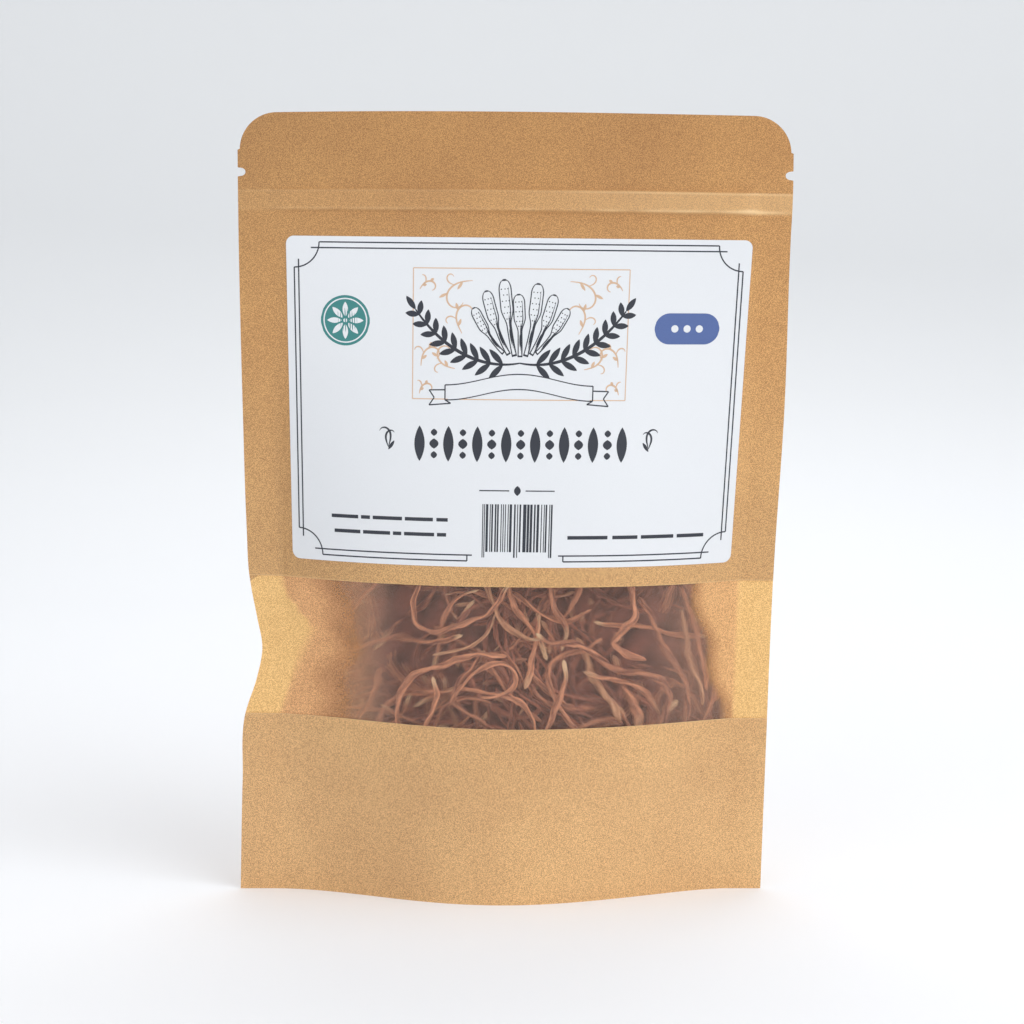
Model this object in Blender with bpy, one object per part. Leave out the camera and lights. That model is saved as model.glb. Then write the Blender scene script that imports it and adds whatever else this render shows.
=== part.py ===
"""A sealed stand-up pouch filled with dried cordyceps.

Metres, +Z up, the printed front towards -Y.  The origin is on the ground, under the middle of the
pouch's box.  Lengths below are in millimetres and are scaled once, when a mesh is made.  The pouch is
a front and a back sheet of kraft paper, a clear film behind the strip cut out of the front, a folded
bottom gusset, a press-to-close zip and a paper label.  The dried fungi are single bent strands laid
against the film, with one closed solid for the heap of loose strands behind them.
"""
import bmesh
import bpy
import numpy as np

MM = 0.001

# Outline of the filled pouch: (height, x) along both side edges, and (x, height) along the top
LEFT_EDGE = ((0, -75.9), (30, -75.1), (48.5, -74.2), (58, -71.1), (66.5, -69.5), (75, -70.8),
             (86.9, -72.8), (100, -73.4), (133, -74.2), (180, -74.9), (214.3, -75.0))
RIGHT_EDGE = ((0, 68.5), (45, 69.9), (92, 71.6), (133, 74.0), (180, 75.3), (192, 75.8), (203, 75.9),
              (214.3, 75.9))
TOP_EDGE = ((-76, 213.2), (-45, 213.9), (0, 214.3), (40, 214.1), (76, 213.7))
POUCH_HEIGHT = 214.3
SEAL_WIDTH = 9.0
CORNER_RADIUS = 10.0
CORNER_STEP = 0.6
STEP_RISE = 0.3
EDGE_SQUEEZE = 25.0
TOP_SHAPE_START, TOP_SHAPE_END = 180.0, 200.0
SKEW = 0.8
SKEW_END = 40.0

# Tear notches near the top of both side seals
NOTCH_HEIGHT = 198.3
NOTCH_HALF = 1.25
NOTCH_DEPTH = 2.1

# How far the front and back faces swell from the seam: (height, depth) up the middle
FRONT_SWELL = ((0, 21.4), (25, 22.4), (48.5, 22.8), (70, 22.0), (86.9, 20.3), (110, 16.8), (133, 12.3),
               (155, 7.6), (172, 3.8), (184, 1.0), (188, 0.3), (193, 0.1), (196, 0), (214.3, 0))
BACK_SWELL = ((0, 19), (25, 22), (49, 23.0), (87, 20.5), (110, 16.5), (133, 12), (155, 7.4),
              (172, 3.6), (184, 1.0), (188, 0.3), (196, 0), (214.3, 0))
# The swell fades across the pouch as (1 - |u|^n)^m, with m of its own on the left and on the right,
# because the strands lie further to the right: the heights, and n, left m and right m there
SWELL_HEIGHTS = (0, 48, 87)
SWELL_N = (2.0, 2.0, 2.35)
SWELL_M_LEFT = (2.1, 1.75, 1.05)
SWELL_M_RIGHT = (1.7, 1.25, 1.05)

# Gentle wave of the flat seams, and the dent in the left edge with its crease
WAVE_DEPTH = 0.9
WAVE_LENGTH = 130.0
WAVE_PHASE = 0.9
WAVE_START, WAVE_RISE = 110.0, 90.0
DENT_HEIGHT, DENT_REACH, DENT_BACK = 66.5, 14.0, 1.5
DENT_INNER, DENT_OUTER = -58.0, -68.0
CREASE_TOP, CREASE_FOOT = (-65.5, 86.0), (-55.0, 73.0)
CREASE_RISE, CREASE_LEFT, CREASE_RIGHT = 2.5, 12.0, 7.0

# Zip: a raised band in both faces with the two strips inside it
BAND_FOOT, BAND_HEAD, BAND_RAMP = 187.9, 192.9, 1.0
BAND_RISE, BAND_FLAT, BAND_END = 1.0, 63.0, 67.0
ZIP_HALF_LENGTH = 61.0
ZIP_CENTRE = 190.4
ZIP_STATIONS = 11

# Layers, as distances in y from the mid surface of the seam
PAPER = 0.25
FILM = 0.12
BACK_INNER = 0.05
FILM_FRONT = -0.17
FRONT_OUTER = -0.52
LABEL_GAP = 0.3
LABEL_THICKNESS = 0.15

# Window strip between the two front papers, and how far the film runs on behind them
WINDOW_FOOT, WINDOW_HEAD = 48.5, 86.9
FILM_FOOT, FILM_HEAD = 42.5, 92.9

# Rows of the sheets (heights) and columns (places across the swell; seals are added outside them)
ROWS = (0, 8, 16, 25, 34, 42.5, 48.5, 54.5, 60.5, 66.5, 72.5, 79.5, 86.9, 92.9, 104, 116, 128, 140, 152,
        162, 172, 180, 186.9, 187.9, 192.9, 193.9, 197.0, 197.6, 198.3, 199.0, 199.6, 204.3, 204.6,
        208.3, 211.3, 213.4, 214.3)
COLUMNS = (-1, -0.9, -0.75, -0.58, -0.4, -0.2, 0, 0.2, 0.4, 0.58, 0.75, 0.9, 1)

# Label: corners follow the swelling face, so it narrows a little towards its foot
LABEL_FOOT, LABEL_HEAD = 92.2, 180.2
LABEL_LEFT = (-60.6, -62.0)
LABEL_RIGHT = (59.4, 65.1)
LABEL_CORNER = 2.2
LABEL_ROWS = 9

# Gusset: seal height at the middle and at the sides, fold height, and its sheet
GUSSET_SEAL, GUSSET_FOLD = 7.0, 30.0
GUSSET_ROUND = 0.12
GUSSET_CLEAR = 0.3
GUSSET_SHEET = 0.2
GUSSET_COLUMNS = COLUMNS[1:-1]
GUSSET_TENT = (-1, -0.6, -0.3, -0.1, 0.1, 0.3, 0.6, 1)

# Strands: five-sided tubes with a ring every few millimetres, laid one behind the other
STRAND_SIDES = 5
RING_SPACING = 5.5
FILM_CLEARANCE = 0.6
STRAND_GAP = 0.5
STEPS_PER_RING = 6

# Heap behind the strands: (height, left, right, depth behind the front face)
HEAP_LEVELS = ((25.5, -20, 20, 6), (31, -36, 40, 6), (38.5, -34, 38, 20), (52, -33, 38, 21.5),
               (70, -34, 38, 21.5), (88, -36, 40, 21.5), (99.5, -38, 42, 21), (110, -46, 52, 4),
               (122, -40, 46, 4), (128, -26, 30, 5))
HEAP_ACROSS = (-1, -0.85, -0.6, -0.3, 0, 0.3, 0.6, 0.85, 1)
HEAP_BACK_CLEARANCE = 2.0

BROWN, CREAM = "cordyceps_brown", "cordyceps_cream"
EVEN, CLUB = 1.0, 1.9

# Each strand: material, radius at its foot, how much fatter its far end is, and its route (x, z).
# The first lies on the film and each later one passes behind those before it.
STRANDS = (
    (BROWN, 0.95, EVEN, ((6, 74), (12, 70.6), (17, 71), (22, 68), (27, 63), (35, 61.8), (41, 59), (43, 53),
                         (40, 48), (35, 42))),
    (BROWN, 0.72, EVEN, ((-24, 91), (-27, 82), (-27, 77.6), (-24, 74.4), (-19, 74.6), (-14, 76.3),
                         (-10, 78), (-6, 80.6), (-1, 88))),
    (BROWN, 0.72, EVEN, ((-48, 66), (-38, 70), (-32, 71.5), (-26, 70.8), (-20, 71.5), (-14, 73))),
    (BROWN, 0.82, EVEN, ((-31, 42), (-32, 48), (-31, 56), (-27, 62), (-19, 65), (-10, 68), (-2, 68))),
    (CREAM, 0.76, EVEN, ((-13, 96), (-10, 90), (-6, 84), (-4, 78), (0, 74), (7, 72))),
    (BROWN, 0.82, EVEN, ((13.5, 67), (13.5, 60), (11, 53), (8, 46), (3, 40))),
    (BROWN, 0.95, EVEN, ((27, 98), (30, 92), (32, 84), (33, 78), (29, 74), (27, 70.5), (31, 67.5),
                         (36, 66))),
    (BROWN, 0.86, EVEN, ((34, 83), (38, 76), (40.5, 70), (43, 65), (47, 59), (48, 52), (46, 44))),
    (BROWN, 0.62, EVEN, ((-17, 55), (-13, 61), (-8, 65), (-3, 66.5), (1, 63), (-2, 58), (-9, 57))),
    (BROWN, 0.74, EVEN, ((-22, 62), (-21, 57), (-23, 50), (-26, 43))),
    (CREAM, 0.48, EVEN, ((-22, 68), (-15, 69.5), (-12, 70), (-8, 72.7), (-5, 79))),
    (BROWN, 0.72, EVEN, ((-17, 95), (-20, 87), (-23, 83), (-27, 78.5), (-34, 73), (-38, 67.6))),
    (BROWN, 0.55, CLUB, ((7, 79), (6, 72), (5, 66), (3, 59))),
    (CREAM, 0.72, EVEN, ((46, 79), (47, 73), (48, 66), (51, 59), (52, 52))),
    (BROWN, 0.72, EVEN, ((46, 85), (49, 76), (51, 69), (52.5, 62), (53, 56))),
    (BROWN, 0.55, EVEN, ((56, 67), (56.5, 61), (55.5, 55), (52, 47))),
    (BROWN, 0.72, EVEN, ((22, 76), (30, 74.5), (38, 73.5), (44, 71.5), (53, 71))),
    (BROWN, 0.72, EVEN, ((-15, 59), (-9, 58), (-2, 57), (3, 54), (6, 47))),
    (BROWN, 0.72, EVEN, ((-8, 69), (-10, 66), (-15, 60), (-16, 55), (-11, 51), (-5, 47), (1, 42))),
    (BROWN, 0.76, EVEN, ((-28, 79), (-31, 73), (-34, 66), (-31, 60), (-24, 57), (-15, 58))),
    (BROWN, 0.82, EVEN, ((-46, 60), (-47, 70), (-45, 78), (-38, 86), (-30, 94))),
    (BROWN, 0.64, EVEN, ((-42, 90), (-38, 84), (-34, 80), (-30, 73), (-29, 65))),
    (BROWN, 0.76, EVEN, ((-1, 95), (-1, 84), (2, 78), (6, 73), (9, 66))),
    (BROWN, 0.76, EVEN, ((9, 98), (10, 87), (11.5, 80), (14, 75), (13, 69))),
    (BROWN, 0.72, EVEN, ((24, 72), (19, 69), (12, 66.5), (9, 62), (11, 56), (15, 50), (20, 44))),
    (BROWN, 0.72, EVEN, ((19, 63), (24, 61), (31, 59.5), (36, 56), (40, 50))),
    (BROWN, 0.72, EVEN, ((47, 67), (49, 60), (48, 54), (46, 47))),
    (BROWN, 0.64, EVEN, ((30, 64), (36, 63), (43, 61.5), (50, 60))),
    (BROWN, 0.64, EVEN, ((-24, 44), (-20, 49.6), (-18.6, 54), (-13, 56), (-6, 54))),
    (CREAM, 0.64, EVEN, ((-19, 61), (-18, 55), (-16, 48), (-15, 42))),
    (BROWN, 0.76, EVEN, ((43, 97), (43, 86), (42, 80), (38, 74), (33, 69))),
    (BROWN, 0.64, EVEN, ((-4, 86), (2, 83), (7, 79), (15, 77), (21, 80))),
    (BROWN, 0.64, CLUB, ((13, 76), (17, 84), (19, 88), (23, 95))),
    (CREAM, 1.05, EVEN, ((17, 72), (20, 66), (22, 60), (26, 55), (29, 49))),
)

COLOURS = {
    "kraft": ((0.55, 0.32, 0.13), 0.85, 0.0),
    "film": ((0.85, 0.85, 0.82), 0.3, 0.0),
    "label_paper": ((0.78, 0.82, 0.87), 0.6, 0.0),
    "zip_plastic": ((0.8, 0.78, 0.7), 0.4, 0.0),
    BROWN: ((0.33, 0.13, 0.06), 0.75, 0.0),
    CREAM: ((0.62, 0.42, 0.22), 0.8, 0.0),
}


def clear_scene():
    """Remove every object that is already there."""
    for old in list(bpy.data.objects):
        bpy.data.objects.remove(old, do_unlink=True)


def make_material(name):
    """A Principled material with the colour, roughness and metallic value listed for this name."""
    colour, roughness, metallic = COLOURS[name]
    material = bpy.data.materials.new(name)
    material.use_nodes = True
    shader = material.node_tree.nodes["Principled BSDF"]
    shader.inputs["Base Color"].default_value = (*colour, 1.0)
    shader.inputs["Roughness"].default_value = roughness
    shader.inputs["Metallic"].default_value = metallic
    return material


def finish(name, body, material):
    """Turn every face outwards and put the bmesh into a named object with its material."""
    bmesh.ops.recalc_face_normals(body, faces=body.faces[:])
    mesh = bpy.data.meshes.new(name)
    body.to_mesh(mesh)
    body.free()
    mesh.shade_smooth()
    mesh.materials.append(material)
    made = bpy.data.objects.new(name, mesh)
    bpy.context.collection.objects.link(made)
    return made


def through(stations, at):
    """Value at each place on the smooth curve (cubic, slopes from the neighbours) through the stations."""
    places, values = np.array(stations, dtype=float).T
    slopes = np.gradient(values, places)
    at = np.clip(np.asarray(at, dtype=float), places[0], places[-1])
    span = np.clip(np.searchsorted(places, at, side="right") - 1, 0, len(places) - 2)
    width = places[span + 1] - places[span]
    t = (at - places[span]) / width
    start = (2 * t**3 - 3 * t**2 + 1) * values[span] + (t**3 - 2 * t**2 + t) * width * slopes[span]
    end = (3 * t**2 - 2 * t**3) * values[span + 1] + (t**3 - t**2) * width * slopes[span + 1]
    return start + end


def ease(t):
    """Smooth step from 0 to 1."""
    t = np.clip(t, 0, 1)
    return t * t * (3 - 2 * t)


def side_edges(z):
    """Left and right edge of the straight sides at a height."""
    return through(LEFT_EDGE, z), through(RIGHT_EDGE, z)


def swell_place(z, u):
    """x of the place u across the swell, where u = -1 and 1 are the inner lines of the side seals."""
    left, right = side_edges(z)
    return (left + right) / 2 + ((right - left) / 2 - SEAL_WIDTH) * u


def swell_shape(x, z):
    """Part of the full swell at (x, z): (1 - |u|^n)^m, flatter across at the height of the label."""
    left, right = side_edges(z)
    u = (x - (left + right) / 2) / ((right - left) / 2 - SEAL_WIDTH)
    n, left_m, right_m = (np.interp(z, SWELL_HEIGHTS, values)
                          for values in (SWELL_N, SWELL_M_LEFT, SWELL_M_RIGHT))
    return (1 - np.clip(np.abs(u), 0, 1) ** n) ** np.where(u < 0, left_m, right_m)


def zip_band(x, z):
    """The raised band over the zip: a flat-topped ridge along x."""
    up = np.interp(z, (BAND_FOOT - BAND_RAMP, BAND_FOOT, BAND_HEAD, BAND_HEAD + BAND_RAMP), (0, 1, 1, 0))
    return BAND_RISE * up * np.interp(np.abs(x), (BAND_FLAT, BAND_END), (1, 0))


def crease(x, z):
    """The folded ridge that runs from the window's upper left corner down to the dent."""
    (top_x, top_z), (foot_x, foot_z) = CREASE_TOP, CREASE_FOOT
    run = np.hypot(top_x - foot_x, top_z - foot_z)
    along = ((x - foot_x) * (top_x - foot_x) + (z - foot_z) * (top_z - foot_z)) / run
    aside = ((x - foot_x) * (top_z - foot_z) - (z - foot_z) * (top_x - foot_x)) / run
    slope = np.where(aside < 0, 1 + aside / CREASE_LEFT, 1 - aside / CREASE_RIGHT)
    return CREASE_RISE * np.clip(slope, 0, 1) * ease(1 - np.abs(2 * along / run - 1) / 1.6)


def seam(x, z):
    """y of the flat seam: a slow wave across the upper half, and the left edge pushed back at its dent."""
    wave = WAVE_DEPTH * ease((z - WAVE_START) / WAVE_RISE) * np.sin(2 * np.pi * x / WAVE_LENGTH + WAVE_PHASE)
    near = ease((DENT_INNER - x) / (DENT_INNER - DENT_OUTER))
    return wave + DENT_BACK * near * np.exp(-((z - DENT_HEIGHT) / DENT_REACH) ** 2)


def front_depth(x, z):
    """How far the front face stands forward of the seam."""
    return through(FRONT_SWELL, z) * swell_shape(x, z) + zip_band(x, z) + crease(x, z)


def back_depth(x, z):
    """How far the back face stands behind the seam."""
    return through(BACK_SWELL, z) * swell_shape(x, z) + zip_band(x, z)


def edge_inset(z):
    """How far an edge is cut in at a height: the tear notch, and the stepped, rounded top corner."""
    notch = NOTCH_DEPTH * np.sqrt(np.clip(1 - ((z - NOTCH_HEIGHT) / NOTCH_HALF) ** 2, 0, 1))
    rise = z - (POUCH_HEIGHT - CORNER_RADIUS)
    arc = CORNER_RADIUS - np.sqrt(np.clip(CORNER_RADIUS**2 - np.clip(rise, 0, None) ** 2, 0, None))
    return notch + arc + CORNER_STEP * np.clip(rise / STEP_RISE, 0, 1)


def sheet_grid(foot, head):
    """x and height of every point of a sheet between two heights, edge to edge."""
    z = np.array([row for row in ROWS if foot <= row <= head])[:, None]
    left, right = side_edges(z)
    swell = swell_place(z, np.array(COLUMNS)[None, :])
    x = np.hstack((left, left + SEAL_WIDTH / 2, swell, right - SEAL_WIDTH / 2, right))
    inset = edge_inset(z)
    from_left, from_right = x - left, right - x
    x = x + np.where(from_left < EDGE_SQUEEZE, inset * (1 - from_left / EDGE_SQUEEZE), 0)
    x = x - np.where(from_right < EDGE_SQUEEZE, inset * (1 - from_right / EDGE_SQUEEZE), 0)
    return x, np.broadcast_to(z, x.shape)


def standing(x, z):
    """Height of a sheet's point on the standing pouch: above its foot every row falls a little to the
    right, and the rows near the top follow the upper edge."""
    skew = -SKEW * x / RIGHT_EDGE[-1][1] * ease(z / SKEW_END)
    top = ease((z - TOP_SHAPE_START) / (TOP_SHAPE_END - TOP_SHAPE_START))
    return z + skew + (through(TOP_EDGE, x) - POUCH_HEIGHT) * top


def sheet(name, x, y, z, thickness, material):
    """A sheet over a grid of points, cut into triangles and extruded straight back by its thickness."""
    rows, columns = x.shape
    body = bmesh.new()
    corners = [body.verts.new(point) for point in np.dstack((x, y, standing(x, z))).reshape(-1, 3) * MM]
    for row in range(rows - 1):
        for column in range(columns - 1):
            first = row * columns + column
            above = first + columns
            body.faces.new((corners[first], corners[first + 1], corners[above + 1]))
            body.faces.new((corners[first], corners[above + 1], corners[above]))
    made = bmesh.ops.extrude_face_region(body, geom=body.faces[:], use_keep_orig=True)
    moved = [item for item in made["geom"] if isinstance(item, bmesh.types.BMVert)]
    bmesh.ops.translate(body, verts=moved, vec=(0, thickness * MM, 0))
    return finish(name, body, material)


def make_panels(kraft, film):
    """The back paper, the two front papers above and below the window, and the film behind them."""
    x, z = sheet_grid(0, POUCH_HEIGHT)
    sheet("back_panel", x, seam(x, z) + back_depth(x, z) + BACK_INNER, z, PAPER, kraft)
    for name, foot, head in (("front_upper_panel", WINDOW_HEAD, POUCH_HEIGHT),
                             ("front_lower_panel", 0, WINDOW_FOOT)):
        x, z = sheet_grid(foot, head)
        sheet(name, x, seam(x, z) - front_depth(x, z) + FRONT_OUTER, z, PAPER, kraft)
    x, z = sheet_grid(FILM_FOOT, FILM_HEAD)
    sheet("window_film", x, seam(x, z) - front_depth(x, z) + FILM_FRONT, z, FILM, film)


def make_label(paper):
    """The label: a rounded rectangle laid over the front."""
    half = (LABEL_HEAD - LABEL_FOOT) / 2
    reach = LABEL_CORNER / ((LABEL_RIGHT[1] - LABEL_LEFT[1]) / 2)
    ends = np.array((0, 0.12, 0.4, 1)) * reach
    a = np.concatenate((-1 + ends, np.linspace(-1 + reach, 1 - reach, 12)[1:-1], (1 - ends)[::-1]))[None, :]
    inward = np.clip((np.abs(a) - (1 - reach)) / reach, 0, 1)
    trim = 1 - LABEL_CORNER / half * (1 - np.sqrt(1 - inward**2))
    b = np.linspace(-1, 1, LABEL_ROWS)[:, None] * trim
    left = LABEL_LEFT[0] + (LABEL_LEFT[1] - LABEL_LEFT[0]) * (b + 1) / 2
    right = LABEL_RIGHT[0] + (LABEL_RIGHT[1] - LABEL_RIGHT[0]) * (b + 1) / 2
    x = (left + right) / 2 + (right - left) / 2 * a
    z = (LABEL_FOOT + LABEL_HEAD) / 2 + half * b
    y = seam(x, z) - front_depth(x, z) + FRONT_OUTER - LABEL_GAP - LABEL_THICKNESS
    sheet("label", x, y, z, LABEL_THICKNESS, paper)


def loft(name, rings, material, poles=None):
    """A closed body through rings of points (rings, points, xyz), ended by flat caps or by two poles."""
    count, sides = rings.shape[:2]
    body = bmesh.new()
    corners = [body.verts.new(point) for point in rings.reshape(-1, 3) * MM]
    for ring in range(count - 1):
        for side in range(sides):
            first, second = ring * sides + side, ring * sides + (side + 1) % sides
            body.faces.new((corners[first], corners[second], corners[second + sides]))
            body.faces.new((corners[first], corners[second + sides], corners[first + sides]))
    ends = (corners[:sides], corners[-sides:])
    if poles is None:
        for end in ends:
            body.faces.new(end)
    else:
        for end, pole in zip(ends, poles):
            tip = body.verts.new(pole * MM)
            for side in range(sides):
                body.faces.new((end[side], end[(side + 1) % sides], tip))
    return finish(name, body, material)


def inside_papers(x, z):
    """y just inside the front paper and just inside the back paper."""
    front = seam(x, z) - front_depth(x, z) + FRONT_OUTER + PAPER + GUSSET_CLEAR
    back = seam(x, z) + back_depth(x, z) + BACK_INNER - GUSSET_CLEAR
    return front, back


def gusset_profile(u):
    """Points (x, y, z) of the gusset's upper face at one place across: up the front seal, over the
    fold as a tent with a rounded ridge, and down the back seal."""
    seal = GUSSET_SEAL + (GUSSET_FOLD - GUSSET_SEAL) * abs(u) ** 3
    top_x = swell_place(seal, u)
    front, back = inside_papers(top_x, seal)
    half = (back - front) / 2
    fold = np.sqrt(max((GUSSET_FOLD - seal) ** 2 - half**2, 0))
    t = np.array(GUSSET_TENT)
    tent = 1 - (np.hypot(t, GUSSET_ROUND) - GUSSET_ROUND) / (np.hypot(1, GUSSET_ROUND) - GUSSET_ROUND)
    low = np.array((0, seal / 2))
    low_x = swell_place(low, u)
    front_seal, back_seal = inside_papers(low_x, low)
    x = np.concatenate((low_x, np.full(len(t), top_x), low_x[::-1]))
    y = np.concatenate((front_seal, (front + back) / 2 + half * t, back_seal[::-1]))
    z = np.concatenate((low, seal + fold * tent, low[::-1]))
    return np.column_stack((x, y, z))


def thicken_profile(upper, thickness):
    """The closed outline of a profile and its copy moved sideways in y and z, mitred at each corner."""
    step = np.diff(upper[:, 1:], axis=0)
    normal = np.column_stack((step[:, 1], -step[:, 0])) / np.hypot(*step.T)[:, None]
    before, after = np.vstack((normal[:1], normal)), np.vstack((normal, normal[-1:]))
    mitre = (before + after) / (1 + np.sum(before * after, axis=1))[:, None]
    mitre[0], mitre[-1] = (1, 0), (-1, 0)
    lower = upper.copy()
    lower[:, 1:] += thickness * mitre
    return np.vstack((upper, lower[::-1]))


def make_gusset(kraft):
    """The folded bottom sheet that lets the pouch stand."""
    rings = np.array([thicken_profile(gusset_profile(u), GUSSET_SHEET) for u in GUSSET_COLUMNS])
    loft("bottom_gusset", rings, kraft)


def make_zip(plastic):
    """The zip's two strips: a rib on the front one stands between two lips on the back one."""
    rib = ((-1.0, 188.0), (-0.75, 188.0), (-0.75, 189.9), (0.05, 190.0), (0.05, 190.8), (-0.75, 190.9),
           (-0.75, 192.8), (-1.0, 192.8))
    lips = ((0.75, 188.0), (0.75, 192.8), (0.5, 192.8), (0.5, 191.8), (-0.25, 191.7), (-0.25, 191.4),
            (0.5, 191.3), (0.5, 189.5), (-0.25, 189.4), (-0.25, 189.1), (0.5, 189.0), (0.5, 188.0))
    across = np.linspace(-ZIP_HALF_LENGTH, ZIP_HALF_LENGTH, ZIP_STATIONS)
    for name, profile in (("zip_strip_front", rib), ("zip_strip_back", lips)):
        y, z = np.array(profile).T
        x = np.broadcast_to(across[:, None], (ZIP_STATIONS, len(profile)))
        z = np.broadcast_to(z, x.shape)
        loft(name, np.dstack((x, y + seam(x, ZIP_CENTRE), standing(x, z))), plastic)


def even_points(route, spacing):
    """Evenly spaced points (x, z) on the smooth curve through a hand-laid route."""
    route = np.array(route, dtype=float)
    along = np.concatenate(([0], np.cumsum(np.hypot(*np.diff(route, axis=0).T))))
    fine = np.linspace(0, along[-1], 240)
    curve = np.column_stack([through(np.column_stack((along, part)), fine) for part in route.T])
    run = np.concatenate(([0], np.cumsum(np.hypot(*np.diff(curve, axis=0).T))))
    count = max(4, int(round(run[-1] / spacing)) + 1)
    at = np.linspace(0, run[-1], count)
    return np.column_stack([np.interp(at, run, part) for part in curve.T])


def strand_radius(radius, growth, count):
    """Radius at each ring: the far end growth times as fat, with both ends narrowed."""
    t = np.linspace(0, 1, count)
    return radius * (1 + (growth - 1) * ease(t)) * (1 - 0.35 * np.abs(2 * t - 1) ** 4)


def between_rings(values):
    """The rings' values and the steps between them, along straight runs."""
    count = len(values)
    at = np.linspace(0, count - 1, (count - 1) * STEPS_PER_RING + 1)
    return np.interp(at, np.arange(count), values)


def lay_strand(points, radius, laid):
    """y of each ring: just behind the film, and behind every strand already laid that it crosses.

    The least depth is found at small steps.  A ring then takes the largest value of the runs on both
    sides of it, and a running maximum followed by a running mean over the rings smooths the result
    without ever bringing it forward of what is needed.
    """
    x, z, r = (between_rings(values) for values in (points[:, 0], points[:, 1], radius))
    need = seam(x, z) - front_depth(x, z) + FILM_CLEARANCE + r
    for other_x, other_y, other_z, other_r in laid:
        reach = r[:, None] + other_r[None, :] + STRAND_GAP
        apart = (x[:, None] - other_x) ** 2 + (z[:, None] - other_z) ** 2
        lift = np.where(apart < reach**2, other_y + np.sqrt(np.clip(reach**2 - apart, 0, None)), -1e3)
        need = np.maximum(need, lift.max(axis=1))
    count = len(points)
    padded = np.pad(need, STEPS_PER_RING, mode="edge")
    ring_need = np.array([padded[k * STEPS_PER_RING:(k + 2) * STEPS_PER_RING + 1].max() for k in range(count)])
    padded = np.pad(ring_need, 1, mode="edge")
    highest = np.maximum(np.maximum(padded[:-2], padded[1:-1]), padded[2:])
    padded = np.pad(highest, 1, mode="edge")
    y = (padded[:-2] + padded[1:-1] + padded[2:]) / 3
    laid.append((x, between_rings(y), z, r))
    return y


def make_strand(name, centres, radius, material):
    """A five-sided tube round a line of centres, closed by a rounded tip at both ends."""
    tangent = np.gradient(centres, axis=0)
    tangent /= np.linalg.norm(tangent, axis=1)[:, None]
    side = np.cross(tangent, (0, 1, 0))
    side /= np.linalg.norm(side, axis=1)[:, None]
    up = np.cross(side, tangent)
    angle = 2 * np.pi * np.arange(STRAND_SIDES) / STRAND_SIDES
    turn = np.cos(angle)[None, :, None] * side[:, None, :] + np.sin(angle)[None, :, None] * up[:, None, :]
    rings = centres[:, None, :] + radius[:, None, None] * turn
    poles = (centres[0] - tangent[0] * radius[0] * 0.6, centres[-1] + tangent[-1] * radius[-1] * 0.6)
    loft(name, rings, material, poles)


def make_strands(materials):
    """Every strand that shows through the film, each its own piece."""
    laid = []
    for number, (material, radius, growth, route) in enumerate(STRANDS, 1):
        points = even_points(route, RING_SPACING)
        radii = strand_radius(radius, growth, len(points))
        depth = lay_strand(points, radii, laid)
        centres = np.column_stack((points[:, 0], depth, points[:, 1]))
        make_strand(f"cordyceps_{number:02d}", centres, radii, materials[material])


def make_heap(brown):
    """One closed solid for the loose strands behind: a lens-shaped ring at each level."""
    rings = []
    for z, left, right, recess in HEAP_LEVELS:
        x = (left + right) / 2 + (right - left) / 2 * np.array(HEAP_ACROSS)
        front = seam(x, z) - front_depth(x, z) + recess
        back = seam(x, z) + back_depth(x, z) - HEAP_BACK_CLEARANCE
        middle = (front[[0, -1]] + back[[0, -1]]) / 2
        front[[0, -1]] = middle
        ring = np.vstack((np.column_stack((x, front)), np.column_stack((x, back))[-2:0:-1]))
        rings.append(np.column_stack((ring, np.full(len(ring), z))))
    loft("cordyceps_heap", np.array(rings), brown)


def main():
    """Build every piece of the filled pouch."""
    clear_scene()
    materials = {name: make_material(name) for name in COLOURS}
    make_panels(materials["kraft"], materials["film"])
    make_gusset(materials["kraft"])
    make_zip(materials["zip_plastic"])
    make_label(materials["label_paper"])
    make_strands(materials)
    make_heap(materials[BROWN])


main()
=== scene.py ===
"""Looks of a filled stand-up pouch of dried cordyceps: kraft papers, frosted window film, a printed
label and the tangled dried strands behind the film.

Lengths are in millimetres in the pouch's own frame (+Z up, -Y at the printed front) and are scaled
once, when a mesh is made.  The stage, the lights and the camera are placed in metres.  Every surface is
a formula on a grid, worked out as whole arrays.
"""

import bpy
import numpy as np
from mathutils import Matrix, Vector


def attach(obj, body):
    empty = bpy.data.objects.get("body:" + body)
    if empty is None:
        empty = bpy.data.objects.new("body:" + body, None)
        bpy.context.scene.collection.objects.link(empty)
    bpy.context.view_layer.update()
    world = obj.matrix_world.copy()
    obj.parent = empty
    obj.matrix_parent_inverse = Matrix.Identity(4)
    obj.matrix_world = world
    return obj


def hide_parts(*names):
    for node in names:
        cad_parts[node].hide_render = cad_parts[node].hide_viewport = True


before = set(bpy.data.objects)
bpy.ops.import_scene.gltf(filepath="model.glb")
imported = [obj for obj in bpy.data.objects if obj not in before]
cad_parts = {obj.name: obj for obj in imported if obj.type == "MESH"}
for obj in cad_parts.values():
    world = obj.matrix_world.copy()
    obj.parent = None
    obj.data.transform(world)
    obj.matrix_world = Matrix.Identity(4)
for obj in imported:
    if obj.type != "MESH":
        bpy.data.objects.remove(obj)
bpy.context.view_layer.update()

MM = 0.001

# Outline of the filled pouch: (height, x) along both side edges, and (x, height) along the top
LEFT_EDGE = ((0, -75.9), (30, -75.1), (48.5, -74.2), (58, -71.1), (66.5, -69.5), (75, -70.8),
             (86.9, -72.8), (100, -73.4), (133, -74.2), (180, -74.9), (214.3, -75.0))
RIGHT_EDGE = ((0, 68.5), (45, 69.9), (92, 71.6), (133, 74.0), (180, 75.3), (192, 75.8), (203, 75.9),
              (214.3, 75.9))
TOP_EDGE = ((-76, 213.2), (-45, 213.9), (0, 214.3), (40, 214.1), (76, 213.7))

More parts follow.
